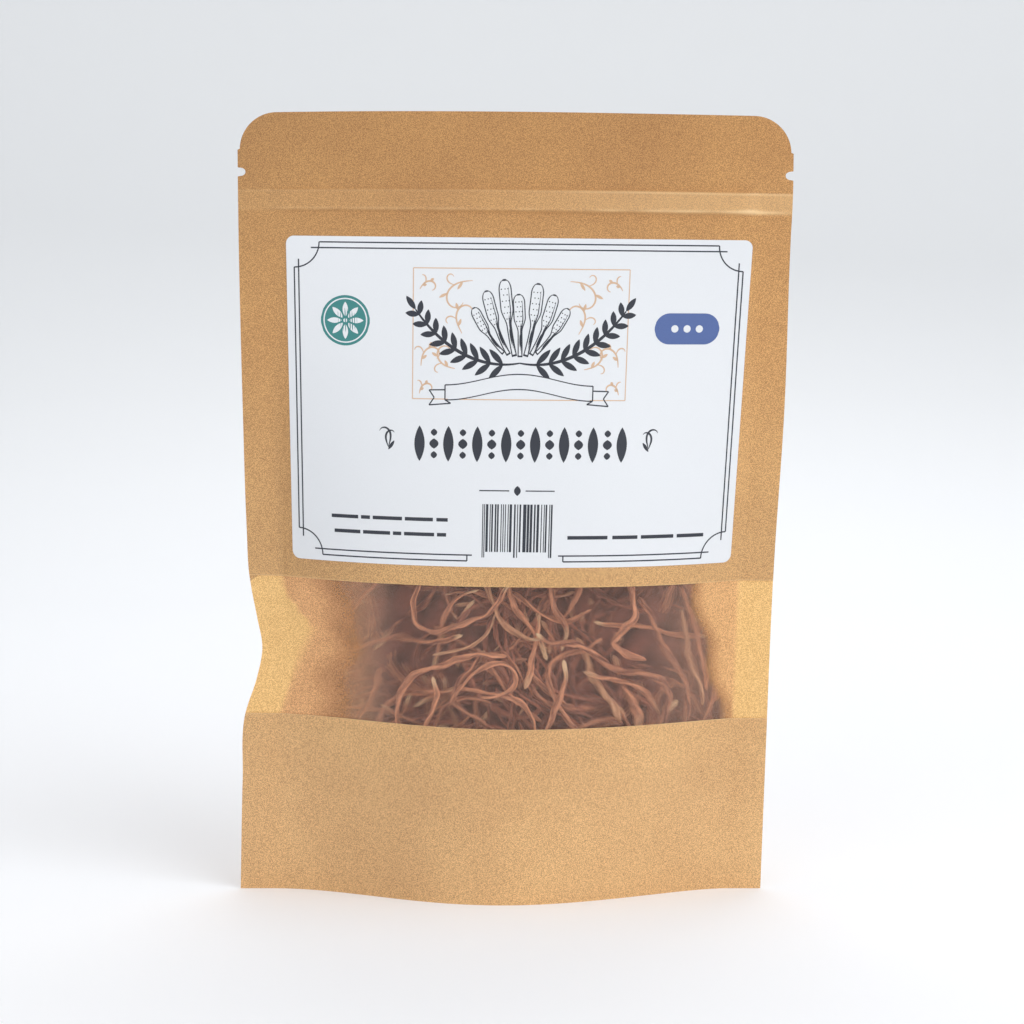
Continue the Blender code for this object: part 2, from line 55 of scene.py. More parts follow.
# The side seals, the stepped round top corners and the tear notches; how far in the columns give way to a
# cut edge; the heights over which the rows take the top's shape; and how far the rows above the foot fall
POUCH_HEIGHT, POUCH_HALF_WIDTH = 214.3, 76.0
SEAL_WIDTH = 9.0
CORNER_RADIUS = 10.0
CORNER_STEP, STEP_RISE = 0.6, 0.3
EDGE_SQUEEZE = 25.0
TOP_SHAPE_START, TOP_SHAPE_END = 180.0, 200.0
SKEW, SKEW_END = 0.8, 40.0
NOTCH_HEIGHT, NOTCH_HALF, NOTCH_DEPTH = 198.3, 1.25, 2.1

# How far the faces swell from the seam, (height, depth), and the exponents, at three heights, by which the
# swell fades across the pouch
FRONT_SWELL = ((0, 21.4), (25, 22.4), (48.5, 22.8), (70, 22.0), (86.9, 20.3), (110, 16.8), (133, 12.3),
               (155, 7.6), (172, 3.8), (184, 1.0), (188, 0.3), (193, 0.1), (196, 0), (214.3, 0))
BACK_SWELL = ((0, 19), (25, 22), (49, 23.0), (87, 20.5), (110, 16.5), (133, 12), (155, 7.4),
              (172, 3.6), (184, 1.0), (188, 0.3), (196, 0), (214.3, 0))
SWELL_HEIGHTS = (0, 48, 87)
SWELL_N = (2.0, 2.0, 2.35)
SWELL_M_LEFT = (2.1, 1.75, 1.05)
SWELL_M_RIGHT = (1.7, 1.25, 1.05)

# The flat seams' slow wave, the dent in the left edge and its crease, and the raised band of the zip
WAVE_DEPTH, WAVE_LENGTH, WAVE_PHASE = 0.9, 130.0, 0.9
WAVE_START, WAVE_RISE = 110.0, 90.0
DENT_HEIGHT, DENT_REACH, DENT_BACK = 66.5, 14.0, 1.5
DENT_INNER, DENT_OUTER = -58.0, -68.0
CREASE_TOP, CREASE_FOOT = (-65.5, 86.0), (-55.0, 73.0)
CREASE_RISE, CREASE_LEFT, CREASE_RIGHT = 2.5, 12.0, 7.0
BAND_FOOT, BAND_HEAD, BAND_RAMP = 187.9, 192.9, 1.0
BAND_RISE, BAND_FLAT, BAND_END = 1.0, 63.0, 67.0
BEAD_RISE, BEAD_HEAD_WIDTH, BEAD_FOOT_WIDTH = 0.22, 0.45, 0.5

# Layers, as distances in y from the mid surface of the seam
PAPER, FILM = 0.25, 0.12
BACK_INNER, FILM_FRONT, FRONT_OUTER = 0.05, -0.17, -0.52
LABEL_GAP, LABEL_THICKNESS = 0.05, 0.15

# Foot and head of the window and of the film behind it; the gusset's seal and fold, the roundness of its
# ridge, its gap to the papers, its thickness and how far across it reaches; and where the papers are made
# thicker so that they look fused
WINDOW_FOOT, WINDOW_HEAD = 48.5, 86.9
FILM_FOOT, FILM_HEAD = 42.5, 92.9
GUSSET_SEAL, GUSSET_FOLD, GUSSET_ROUND = 7.0, 30.0, 0.12
GUSSET_CLEAR, GUSSET_SHEET, GUSSET_REACH = 0.3, 0.2, 0.9
TOP_SEAL, SEAL_FILL, FILM_FILL = 197.0, 0.3, 0.08

# The label's corners, and its own size flat on the paper
LABEL_FOOT, LABEL_HEAD = 92.2, 180.2
LABEL_LEFT, LABEL_RIGHT = (-60.6, -62.0), (59.4, 65.1)
LABEL_HALF_WIDTH, LABEL_HALF_HEIGHT, LABEL_CORNER = 63.5, 44.0, 2.2

# Spacing of the fine grids, and how many points they have
SHEET_STEP = 1.25
NOTCH_STEP, BAND_STEP, CUT_STEP, ROW_GAP, CORNER_ROWS = 0.18, 0.3, 0.14, 0.04, 26
GUSSET_COLUMNS, GUSSET_ROWS, GUSSET_SEAL_ROWS = 90, 41, 6
LABEL_COLUMNS, LABEL_ROWS, LABEL_CORNER_COLUMNS = 100, 72, 9
PACKED_POINTS = 130
SWELL_COLUMNS, SEAL_COLUMNS = 104, 8
RING_STEP = 0.45
STRAND_SIDES = 14
LOOSE_RING_STEP, LOOSE_SIDES = 0.9, 9

# How the strands are laid, as in the solids
RING_SPACING = 5.5
FILM_CLEARANCE, STRAND_GAP = 0.6, 0.5
STEPS_PER_RING = 6
# The third skin is the brown one darkened, as painted shade for strands deep in the pouch
BROWN, CREAM, DEEP_SHADED = "cordyceps_brown", "cordyceps_cream", "cordyceps_deep"
EVEN, CLUB = 1.0, 1.9

# Each shown strand: its skin, its radius, how many times as fat its far end is, and its route (x, height)
STRANDS = (
    (BROWN, 0.95, EVEN, ((6, 74), (12, 70.6), (17, 71), (22, 68), (27, 63), (35, 61.8), (41, 59), (43, 53),
                         (40, 48), (35, 42))),
    (BROWN, 0.72, EVEN, ((-24, 91), (-27, 82), (-27, 77.6), (-24, 74.4), (-19, 74.6), (-14, 76.3),
                         (-10, 78), (-6, 80.6), (-1, 88))),
    (BROWN, 0.72, EVEN, ((-48, 66), (-38, 70), (-32, 71.5), (-26, 70.8), (-20, 71.5), (-14, 73))),
    (BROWN, 0.82, EVEN, ((-31, 42), (-32, 48), (-31, 56), (-27, 62), (-19, 65), (-10, 68), (-2, 68))),
    (CREAM, 0.76, EVEN, ((-13, 96), (-10, 90), (-6, 84), (-4, 78), (0, 74), (7, 72))),
    (BROWN, 0.82, EVEN, ((13.5, 67), (13.5, 60), (11, 53), (8, 46), (3, 40))),
    (BROWN, 0.95, EVEN, ((27, 98), (30, 92), (32, 84), (33, 78), (29, 74), (27, 70.5), (31, 67.5),
                         (36, 66))),
    (BROWN, 0.86, EVEN, ((34, 83), (38, 76), (40.5, 70), (43, 65), (47, 59), (48, 52), (46, 44))),
    (BROWN, 0.62, EVEN, ((-17, 55), (-13, 61), (-8, 65), (-3, 66.5), (1, 63), (-2, 58), (-9, 57))),
    (BROWN, 0.74, EVEN, ((-22, 62), (-21, 57), (-23, 50), (-26, 43))),
    (CREAM, 0.48, EVEN, ((-22, 68), (-15, 69.5), (-12, 70), (-8, 72.7), (-5, 79))),
    (BROWN, 0.72, EVEN, ((-17, 95), (-20, 87), (-23, 83), (-27, 78.5), (-34, 73), (-38, 67.6))),
    (BROWN, 0.55, CLUB, ((7, 79), (6, 72), (5, 66), (3, 59))),
    (CREAM, 0.72, EVEN, ((46, 79), (47, 73), (48, 66), (51, 59), (52, 52))),
    (BROWN, 0.72, EVEN, ((46, 85), (49, 76), (51, 69), (52.5, 62), (53, 56))),
    (BROWN, 0.55, EVEN, ((56, 67), (56.5, 61), (55.5, 55), (52, 47))),
    (BROWN, 0.72, EVEN, ((22, 76), (30, 74.5), (38, 73.5), (44, 71.5), (53, 71))),
    (BROWN, 0.72, EVEN, ((-15, 59), (-9, 58), (-2, 57), (3, 54), (6, 47))),
    (BROWN, 0.72, EVEN, ((-8, 69), (-10, 66), (-15, 60), (-16, 55), (-11, 51), (-5, 47), (1, 42))),
    (BROWN, 0.76, EVEN, ((-28, 79), (-31, 73), (-34, 66), (-31, 60), (-24, 57), (-15, 58))),
    (BROWN, 0.82, EVEN, ((-46, 60), (-47, 70), (-45, 78), (-38, 86), (-30, 94))),
    (BROWN, 0.64, EVEN, ((-42, 90), (-38, 84), (-34, 80), (-30, 73), (-29, 65))),
    (BROWN, 0.76, EVEN, ((-1, 95), (-1, 84), (2, 78), (6, 73), (9, 66))),
    (BROWN, 0.76, EVEN, ((9, 98), (10, 87), (11.5, 80), (14, 75), (13, 69))),
    (BROWN, 0.72, EVEN, ((24, 72), (19, 69), (12, 66.5), (9, 62), (11, 56), (15, 50), (20, 44))),
    (BROWN, 0.72, EVEN, ((19, 63), (24, 61), (31, 59.5), (36, 56), (40, 50))),
    (BROWN, 0.72, EVEN, ((47, 67), (49, 60), (48, 54), (46, 47))),
    (BROWN, 0.64, EVEN, ((30, 64), (36, 63), (43, 61.5), (50, 60))),
    (BROWN, 0.64, EVEN, ((-24, 44), (-20, 49.6), (-18.6, 54), (-13, 56), (-6, 54))),
    (CREAM, 0.64, EVEN, ((-19, 61), (-18, 55), (-16, 48), (-15, 42))),
    (BROWN, 0.76, EVEN, ((43, 97), (43, 86), (42, 80), (38, 74), (33, 69))),
    (BROWN, 0.64, EVEN, ((-4, 86), (2, 83), (7, 79), (15, 77), (21, 80))),
    (BROWN, 0.64, CLUB, ((13, 76), (17, 84), (19, 88), (23, 95))),
    (CREAM, 1.05, EVEN, ((17, 72), (20, 66), (22, 60), (26, 55), (29, 49))),
)

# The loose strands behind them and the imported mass: how many, the tries for each and the meshes they are
# joined in, how thick, where (x, height), and how far back
LOOSE_COUNT, NEAR_FILM_COUNT = 205, 90
LOOSE_TRIES, LOOSE_MESHES, BACK_CLEARANCE = 3, 4, 0.3
LOOSE_RADIUS, LOOSE_CLUB = (0.5, 0.95), 1.5
LOOSE_REGION = ((-54, 58.5), (36, 101))
PACKED_REGION = ((-54, 57), (31, 121))
LOOSE_NEAR, LOOSE_DEEP = (0.0, 2.5), (2.0, 8.0)
PACKED_NEAR, PACKED_DEPTH, PACKED_CREST, PACKED_BACK, PACKED_THIN = 3.0, 9.0, 1.8, 0.8, 0.6


# ---------------------------------------------------------------- shape of the pouch

def through(stations, at):
    """Value at each place on the smooth curve (cubic, slopes from the neighbours) through the stations."""
    places, values = np.array(stations, dtype=float).T
    slopes = np.gradient(values, places)
    at = np.clip(np.asarray(at, dtype=float), places[0], places[-1])
    span = np.clip(np.searchsorted(places, at, side="right") - 1, 0, len(places) - 2)
    width = places[span + 1] - places[span]
    t = (at - places[span]) / width
    start = (2 * t**3 - 3 * t**2 + 1) * values[span] + (t**3 - 2 * t**2 + t) * width * slopes[span]
    end = (3 * t**2 - 2 * t**3) * values[span + 1] + (t**3 - t**2) * width * slopes[span + 1]
    return start + end


def ease(t):
    """Smooth step from 0 to 1."""
    t = np.clip(t, 0, 1)
    return t * t * (3 - 2 * t)


def side_edges(z):
    """Left and right edge of the straight sides at a height."""
    return through(LEFT_EDGE, z), through(RIGHT_EDGE, z)


def swell_place(z, u):
    """x of the place u across the swell, where u = -1 and 1 are the inner lines of the side seals."""
    left, right = side_edges(z)
    return (left + right) / 2 + ((right - left) / 2 - SEAL_WIDTH) * u


def swell_shape(x, z):
    """Part of the full swell at (x, z): (1 - |u|^n)^m, flatter across at the height of the label."""
    left, right = side_edges(z)
    u = (x - (left + right) / 2) / ((right - left) / 2 - SEAL_WIDTH)
    n, left_m, right_m = (np.interp(z, SWELL_HEIGHTS, values)
                          for values in (SWELL_N, SWELL_M_LEFT, SWELL_M_RIGHT))
    return (1 - np.clip(np.abs(u), 0, 1) ** n) ** np.where(u < 0, left_m, right_m)


def zip_band(x, z):
    """The raised band over the zip: a flat-topped ridge along x with a finer bead along both its lines, a
    quarter lower at the left than at the right."""
    heights = (BAND_FOOT - BAND_RAMP, BAND_FOOT, BAND_HEAD, BAND_HEAD + BAND_RAMP)
    up = ease(np.interp(z, heights, (0, 1, 1, 0)))
    bead = BEAD_RISE * (np.exp(-((z - BAND_HEAD) / BEAD_HEAD_WIDTH) ** 2)
                        + np.exp(-((z - BAND_FOOT) / BEAD_FOOT_WIDTH) ** 2))
    along = 0.75 + 0.25 * ease((x + 40) / 60)
    return (BAND_RISE * up + bead) * along * ease(np.interp(np.abs(x), (BAND_FLAT, BAND_END), (1, 0)))


def crease(x, z):
    """The folded ridge that runs from the window's upper left corner down to the dent."""
    (top_x, top_z), (foot_x, foot_z) = CREASE_TOP, CREASE_FOOT
    run = np.hypot(top_x - foot_x, top_z - foot_z)
    along = ((x - foot_x) * (top_x - foot_x) + (z - foot_z) * (top_z - foot_z)) / run
    aside = ((x - foot_x) * (top_z - foot_z) - (z - foot_z) * (top_x - foot_x)) / run
    slope = np.where(aside < 0, 1 + aside / CREASE_LEFT, 1 - aside / CREASE_RIGHT)
    return CREASE_RISE * np.clip(slope, 0, 1) * ease(1 - np.abs(2 * along / run - 1) / 1.6)


def seam(x, z):
    """y of the flat seam: a slow wave across the upper half, and the left edge pushed back at its dent."""
    wave = WAVE_DEPTH * ease((z - WAVE_START) / WAVE_RISE) * np.sin(2 * np.pi * x / WAVE_LENGTH + WAVE_PHASE)
    near = ease((DENT_INNER - x) / (DENT_INNER - DENT_OUTER))
    return wave + DENT_BACK * near * np.exp(-((z - DENT_HEIGHT) / DENT_REACH) ** 2)


def ripple(x, z):
    """Slight unevenness of a filled paper face: three slow crossed waves, gone at the seals."""
    waves = (0.16 * np.sin(x / 17 + z / 31 + 0.4) * np.sin(z / 23 - x / 60)
             + 0.10 * np.sin(x / 9.5 - z / 14 + 2.1) * np.sin(z / 11 + x / 37 + 1.0)
             + 0.05 * np.sin(x / 4.7 + z / 6.1) * np.sin(z / 19 + 0.7))
    return waves * swell_shape(x, z)


def front_depth(x, z):
    """How far the front face stands forward of the seam."""
    return through(FRONT_SWELL, z) * swell_shape(x, z) + zip_band(x, z) + crease(x, z) + ripple(x, z)


def back_depth(x, z):
    """How far the back face stands behind the seam."""
    return through(BACK_SWELL, z) * swell_shape(x, z) + zip_band(x, z) + ripple(x + 40, z)


def painted_sheen_and_gloss(x, z, windowed):
    """Painted sheen and gloss on the paper: how much lighter and smoother it is made over the zip band, more
    to the right, with a fine painted highlight line along its upper edge, a patchy one along its lower edge
    and a painted glint near its right end, and painted highlight lines along a window's cuts.  The lightening
    is painted light; the lower roughness is the paper's own gloss."""
    # Painted sheen and highlights: every term below lightens the paper where the band and the window's cuts
    # would catch light
    right = ease((x + 25) / 75)
    band = ease(np.interp(z, (BAND_FOOT - 1.2, BAND_FOOT, BAND_HEAD, BAND_HEAD + 0.5), (0, 1, 1, 0)))
    upper = np.exp(-((z - BAND_HEAD - 0.1) / 0.28) ** 2) * (0.25 + 0.75 * ease((x - 5) / 30))
    patches = np.clip(0.5 + 0.5 * np.sin(x / 2.3) * np.sin(x / 7.7 + 1) + 0.4 * np.sin(x / 15 + 4), 0, 1)
    lower = np.exp(-((z - BAND_FOOT) / 0.4) ** 2) * patches * (0.3 + 0.5 * right)
    painted_glint = 1.2 * np.exp(-((z - BAND_FOOT - 0.1) / 0.6) ** 2 - ((x - 64.5) / 3.0) ** 2)
    ends = 0.35 + 0.65 * ease((np.abs(x) - 30) / 20)
    rim = np.exp(-((z - WINDOW_HEAD) / 0.22) ** 2) + 0.6 * np.exp(-((z - WINDOW_FOOT) / 0.22) ** 2)
    pressed = band * (0.12 + 0.34 * right) + 0.6 * upper + 0.8 * lower + painted_glint
    return np.clip(pressed + 0.7 * rim * ends * windowed, 0, 1.3)


def fused_edge(x, z):
    """How much thicker the papers are made inward where they are sealed, along the side seals and over the
    zip: the front papers where they meet the back paper, and the back paper where the film lies on it."""
    left, right = side_edges(z)
    sealed = (np.minimum(x - left, right - x) < SEAL_WIDTH - 0.5) | (z > TOP_SEAL)
    at_film = (z > FILM_FOOT - 0.5) & (z < FILM_HEAD + 0.5)
    return SEAL_FILL * sealed * ~at_film, FILM_FILL * sealed * at_film


def edge_inset(z):
    """How far an edge is cut in at a height: the tear notch, and the stepped, rounded top corner."""
    notch = NOTCH_DEPTH * np.sqrt(np.clip(1 - np.abs((z - NOTCH_HEIGHT) / NOTCH_HALF) ** 2.4, 0, 1))
    rise = z - (POUCH_HEIGHT - CORNER_RADIUS)
    arc = CORNER_RADIUS - np.sqrt(np.clip(CORNER_RADIUS**2 - np.clip(rise, 0, None) ** 2, 0, None))
    return notch + arc + CORNER_STEP * np.clip(rise / STEP_RISE, 0, 1)


def standing(x, z):
    """Height of a sheet's point on the standing pouch: above its foot every row falls a little to the
    right, and the rows near the top follow the upper edge."""
    skew = -SKEW * x / RIGHT_EDGE[-1][1] * ease(z / SKEW_END)
    top = ease((z - TOP_SHAPE_START) / (TOP_SHAPE_END - TOP_SHAPE_START))
    return z + skew + (through(TOP_EDGE, x) - POUCH_HEIGHT) * top


def row_heights(foot, head):
    """Heights of the rows of a fine sheet: even, and closer at the tear notches, round the top corners, at
    the zip's band and beside the window's cuts."""
    even = np.linspace(foot, head, int(round((head - foot) / SHEET_STEP)) + 1)
    notch = np.arange(NOTCH_HEIGHT - NOTCH_HALF, NOTCH_HEIGHT + NOTCH_HALF + NOTCH_STEP, NOTCH_STEP)
    turn = np.linspace(0, np.pi / 2, CORNER_ROWS)
    corner = POUCH_HEIGHT - CORNER_RADIUS + CORNER_RADIUS * np.sin(turn)
    band = np.arange(BAND_FOOT - 2, BAND_HEAD + 2, BAND_STEP)
    above, below = np.arange(0, 0.8, CUT_STEP) + WINDOW_HEAD, np.arange(-0.7, 0.1, CUT_STEP) + WINDOW_FOOT
    rows = np.concatenate((even, notch, corner, corner[:1] + STEP_RISE, band, above, below))
    rows = np.unique(np.round(rows[(rows >= foot) & (rows <= head)], 3))
    keep = np.concatenate(([True], np.diff(rows) > ROW_GAP))
    keep[-1] = True
    return rows[keep]


def sheet_grid(foot, head):
    """x and height of every point of a fine sheet between two heights, edge to edge."""
    z = row_heights(foot, head)[:, None]
    left, right = side_edges(z)
    seal = np.linspace(0, SEAL_WIDTH, SEAL_COLUMNS + 1)[:-1]
    swell = swell_place(z, np.linspace(-1, 1, SWELL_COLUMNS + 1)[None, :])
    x = np.hstack((left + seal, swell, right - seal[::-1]))
    inset = edge_inset(z)
    from_left, from_right = x - left, right - x
    x = x + np.where(from_left < EDGE_SQUEEZE, inset * (1 - from_left / EDGE_SQUEEZE), 0)
    x = x - np.where(from_right < EDGE_SQUEEZE, inset * (1 - from_right / EDGE_SQUEEZE), 0)
    return x, np.broadcast_to(z, x.shape)


# ---------------------------------------------------------------- meshes from arrays

def grid_faces(rows, columns, wrapped=False):
    """Quads between the neighbouring points of a grid, also from its last column to its first if wrapped."""
    row = np.arange(rows - 1)[:, None] * columns
    column = np.arange(columns if wrapped else columns - 1)[None, :]
    after = (column + 1) % columns
    above = row + columns
    return np.stack((row + column, row + after, above + after, above + column), -1).reshape(-1, 4)


def make_piece(name, points, faces, materials, replaced=(), rim_faces=0, uv=None, values=None):
    """A piece on the root body from points in millimetres and lists of faces.  The last rim_faces faces
    take the second material; uv gives a pair for each point; values are float attributes on the points."""
    mesh = bpy.data.meshes.new(name)
    mesh.from_pydata(np.asarray(points, float).reshape(-1, 3) * MM, [], faces)
    for material in materials:
        mesh.materials.append(material)
    if rim_faces:
        index = np.zeros(len(mesh.polygons), dtype=np.int32)
        index[-rim_faces:] = 1
        mesh.polygons.foreach_set("material_index", index)
    if uv is not None:
        corner = np.empty(len(mesh.loops), dtype=np.int32)
        mesh.loops.foreach_get("vertex_index", corner)
        layer = mesh.uv_layers.new(name="UVMap")
        layer.data.foreach_set("uv", np.asarray(uv, dtype=np.float32)[corner].ravel())
    for key, value in (values or {}).items():
        attribute = mesh.attributes.new(key, "FLOAT", "POINT")
        attribute.data.foreach_set("value", np.asarray(value, dtype=np.float32))
    mesh.shade_smooth()
    mesh.set_sharp_from_angle(angle=np.radians(50))
    mesh.validate()
    made = bpy.data.objects.new(name, mesh)
    bpy.context.scene.collection.objects.link(made)
    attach(made, "root")
    if replaced:
        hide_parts(*replaced)
    return made


def slab(x, z, front, back):
    """Points and faces of a closed sheet between two surfaces y = front and y = back over one grid, and
    how many of its faces are the cut edge all round."""
    rows, columns = x.shape
    up = standing(x, z)
    points = np.vstack([np.dstack((x, y, up)).reshape(-1, 3) for y in (front, back)])
    count = rows * columns
    face = grid_faces(rows, columns)
    number = np.arange(count).reshape(rows, columns)
    loop = np.concatenate((number[0, :-1], number[:-1, -1], number[-1, :0:-1], number[:0:-1, 0]))
    after = np.roll(loop, -1)
    rim = np.column_stack((loop, loop + count, after + count, after))
    faces = np.vstack((face, face[:, ::-1] + count, rim)).tolist()
    return points, faces, len(rim)


def tube(rings, tips):
    """Points and faces of a closed tube through rings (rings, sides, xyz) ended by two tip points.  The
    rings turn so that the faces point outwards when the sides run clockwise along the tube."""
    count, sides = rings.shape[:2]
    points = np.vstack((rings.reshape(-1, 3), tips))
    quads = grid_faces(count, sides, wrapped=True)
    side = np.arange(sides)
    after = (side + 1) % sides
    last = (count - 1) * sides
    start = np.column_stack((after, side, np.full(sides, count * sides)))
    end = np.column_stack((last + side, last + after, np.full(sides, count * sides + 1)))
    return points, quads.tolist() + start.tolist() + end.tolist()


# ---------------------------------------------------------------- materials

def socket(group, name, kind, direction, value=None):
    """A socket on a node group, with its starting value."""
    made = group.interface.new_socket(name=name, in_out=direction, socket_type=kind)
    if value is not None:
        made.default_value = value


def add(tree, kind, **settings):
    """A node with its settings: attributes by name, and input values by the names in its inputs."""
    node = tree.nodes.new(kind)
    for key, value in settings.items():
        if hasattr(node, key) and key not in node.inputs:
            setattr(node, key, value)
        else:
            node.inputs[key].default_value = value
    return node


def math(tree, operation, *values):
    """A Math node on sockets or numbers, and its output."""
    node = tree.nodes.new("ShaderNodeMath")
    node.operation = operation
    for index, value in enumerate(values):
        if isinstance(value, bpy.types.NodeSocket):
            tree.links.new(value, node.inputs[index])
        else:
            node.inputs[index].default_value = value
    return node.outputs[0]


def blend_colours(tree, factor, first, second, blend_type="MIX"):
    """A colour Mix node on sockets or colours, and its output."""
    node = tree.nodes.new("ShaderNodeMix")
    node.data_type = "RGBA"
    node.blend_type = blend_type
    for key, value in ((0, factor), (6, first), (7, second)):
        if isinstance(value, bpy.types.NodeSocket):
            tree.links.new(value, node.inputs[key])
        elif key == 0:
            node.inputs[key].default_value = value
        else:
            node.inputs[key].default_value = (*value, 1)
    return node.outputs[2]


def ramp(tree, value, *stops):
    """A Color Ramp over (place, grey or colour) stops, and its colour output."""
    node = tree.nodes.new("ShaderNodeValToRGB")
    while len(node.color_ramp.elements) < len(stops):
        node.color_ramp.elements.new(0.5)
    for element, (place, colour) in zip(node.color_ramp.elements, stops):
        element.position = place
        element.color = (*np.broadcast_to(colour, 3), 1)
    tree.links.new(value, node.inputs[0])
    return node.outputs[0]


def noise(tree, vector, scale, detail=3.0, roughness=0.55):
    """A Noise texture on a vector, and its grey output."""
    node = add(tree, "ShaderNodeTexNoise", Scale=scale, Detail=detail, Roughness=roughness)
    tree.links.new(vector, node.inputs["Vector"])
    return node.outputs[0]


def make_fibre_group():
    """Grain of pressed plant fibre: Grain is even fine mottling, Fleck marks rare dark specks, Fibre is
    long soft streaks.  Size scales the whole pattern."""
    group = bpy.data.node_groups.new("plant_fibre_grain", "ShaderNodeTree")
    socket(group, "Vector", "NodeSocketVector", "INPUT")
    socket(group, "Size", "NodeSocketFloat", "INPUT", 1.0)
    for name in ("Grain", "Fleck", "Fibre"):
        socket(group, name, "NodeSocketFloat", "OUTPUT")
    inside, outside = group.nodes.new("NodeGroupInput"), group.nodes.new("NodeGroupOutput")
    scaled = add(group, "ShaderNodeVectorMath", operation="DIVIDE")
    group.links.new(inside.outputs["Vector"], scaled.inputs[0])
    size = add(group, "ShaderNodeCombineXYZ")
    for axis in range(3):
        group.links.new(inside.outputs["Size"], size.inputs[axis])
    group.links.new(size.outputs[0], scaled.inputs[1])
    turned = add(group, "ShaderNodeMapping")
    turned.inputs["Rotation"].default_value = (0.6, 0.4, 0.5)
    group.links.new(scaled.outputs[0], turned.inputs["Vector"])
    vector = turned.outputs[0]
    fine = noise(group, vector, 4700, detail=0.0)
    coarse = noise(group, vector, 1500, detail=2.0)
    grain = math(group, "ADD", math(group, "MULTIPLY", fine, 0.84), math(group, "MULTIPLY", coarse, 0.16))
    group.links.new(grain, outside.inputs["Grain"])
    cells = add(group, "ShaderNodeTexVoronoi", Scale=620.0, Randomness=1.0)
    group.links.new(vector, cells.inputs["Vector"])
    near = math(group, "LESS_THAN", cells.outputs["Distance"], 0.16)
    rare = add(group, "ShaderNodeSeparateColor")
    group.links.new(cells.outputs["Color"], rare.inputs[0])
    fleck = math(group, "MULTIPLY", near, math(group, "GREATER_THAN", rare.outputs[0], 0.86))
    group.links.new(fleck, outside.inputs["Fleck"])
    stretched = add(group, "ShaderNodeMapping")
    stretched.inputs["Scale"].default_value = (0.22, 1.0, 1.4)
    stretched.inputs["Rotation"].default_value = (0, 0.35, 0)
    group.links.new(vector, stretched.inputs["Vector"])
    group.links.new(noise(group, stretched.outputs[0], 700, detail=4.0), outside.inputs["Fibre"])
    return group


def new_material(name, **settings):
    """A material, its node tree, its shader and its Object coordinates."""
    material = bpy.data.materials.new(name)
    material.use_nodes = True
    tree = material.node_tree
    shader = tree.nodes["Principled BSDF"]
    for key, value in settings.items():
        shader.inputs[key.replace("_", " ")].default_value = value
    place = tree.nodes.new("ShaderNodeTexCoord").outputs["Object"]
    return material, tree, shader, place


def fibre(tree, group, place, size):
    """The fibre grain group placed in a material."""
    node = tree.nodes.new("ShaderNodeGroup")
    node.node_tree = group
    node.inputs["Size"].default_value = size
    tree.links.new(place, node.inputs["Vector"])
    return node.outputs


def bump(tree, shader, height, distance, strength=1.0):
    """A Bump node between a height and the shader's normal; distance is in millimetres."""
    node = add(tree, "ShaderNodeBump", Strength=strength, Distance=distance * MM)
    tree.links.new(height, node.inputs["Height"])
    tree.links.new(node.outputs[0], shader.inputs["Normal"])


def make_kraft(group):
    """Kraft paper: mottled brown with rare dark specks, redder and darker towards the top, a little darker to
    the left as painted shade, more so higher up, and lightened by painted highlights over the zip band and
    along the window's cuts."""
    material, tree, shader, place = new_material(
        "kraft_paper", Specular_IOR_Level=0.45, Sheen_Weight=0.05, Sheen_Roughness=0.5)
    out = fibre(tree, group, place, 1.0)
    mottled = blend_colours(tree, ramp(tree, out["Grain"], (0.42, 0), (0.58, 1)),
                            (0.53, 0.302, 0.132), (0.875, 0.546, 0.252))
    streaks = math(tree, "MULTIPLY", ramp(tree, out["Fibre"], (0.55, 0), (0.75, 1)), 0.20)
    streaked = blend_colours(tree, streaks, mottled, (0.72, 0.46, 0.22))
    apart = add(tree, "ShaderNodeSeparateXYZ")
    tree.links.new(place, apart.inputs[0])
    height = math(tree, "DIVIDE", apart.outputs[2], POUCH_HEIGHT * MM)
    tone = ramp(tree, height, (0.12, 1), (0.42, (0.89, 0.86, 0.80)), (0.70, (0.86, 0.76, 0.62)),
                (0.96, (0.73, 0.62, 0.475)))
    patchy = ramp(tree, noise(tree, place, 22, detail=4.0, roughness=0.6), (0.34, (0.91, 0.885, 0.875)),
                  (0.66, (1.05, 1.06, 1.05)))
    tone = blend_colours(tree, 1.0, tone, patchy, "MULTIPLY")
    # Painted shade: the left side is darkened, more so higher up, as if lit more from the right
    across = math(tree, "MULTIPLY_ADD", apart.outputs[0], 1 / (2 * POUCH_HALF_WIDTH * MM), 0.5)
    tone = blend_colours(tree, height, tone, ramp(tree, across, (0.0, 0.87), (1.0, 1.04)), "MULTIPLY")
    toned = blend_colours(tree, 1.0, streaked, tone, "MULTIPLY")
    flecked = blend_colours(tree, math(tree, "MULTIPLY", out["Fleck"], 0.35), toned, (0.20, 0.09, 0.03))
    # Painted highlight: the attribute lightens the colour towards pale gold and lowers the roughness
    pressed = add(tree, "ShaderNodeAttribute", attribute_name="painted_sheen_and_gloss").outputs["Fac"]
    bright = blend_colours(tree, math(tree, "MULTIPLY", pressed, 0.55), flecked, (0.96, 0.68, 0.36))
    tree.links.new(bright, shader.inputs["Base Color"])
    tree.links.new(math(tree, "MULTIPLY_ADD", pressed, -0.14, 0.52), shader.inputs["Roughness"])
    bump(tree, shader, out["Grain"], 0.05, 0.5)
    return material


def make_cut_edge(group):
    """The pale cut edge of a paper."""
    material, tree, shader, place = new_material("cut_edge", Roughness=0.85)
    out = fibre(tree, group, place, 0.6)
    mottled = blend_colours(tree, out["Grain"], (0.66, 0.47, 0.27), (0.86, 0.70, 0.48))
    tree.links.new(mottled, shader.inputs["Base Color"])
    return material


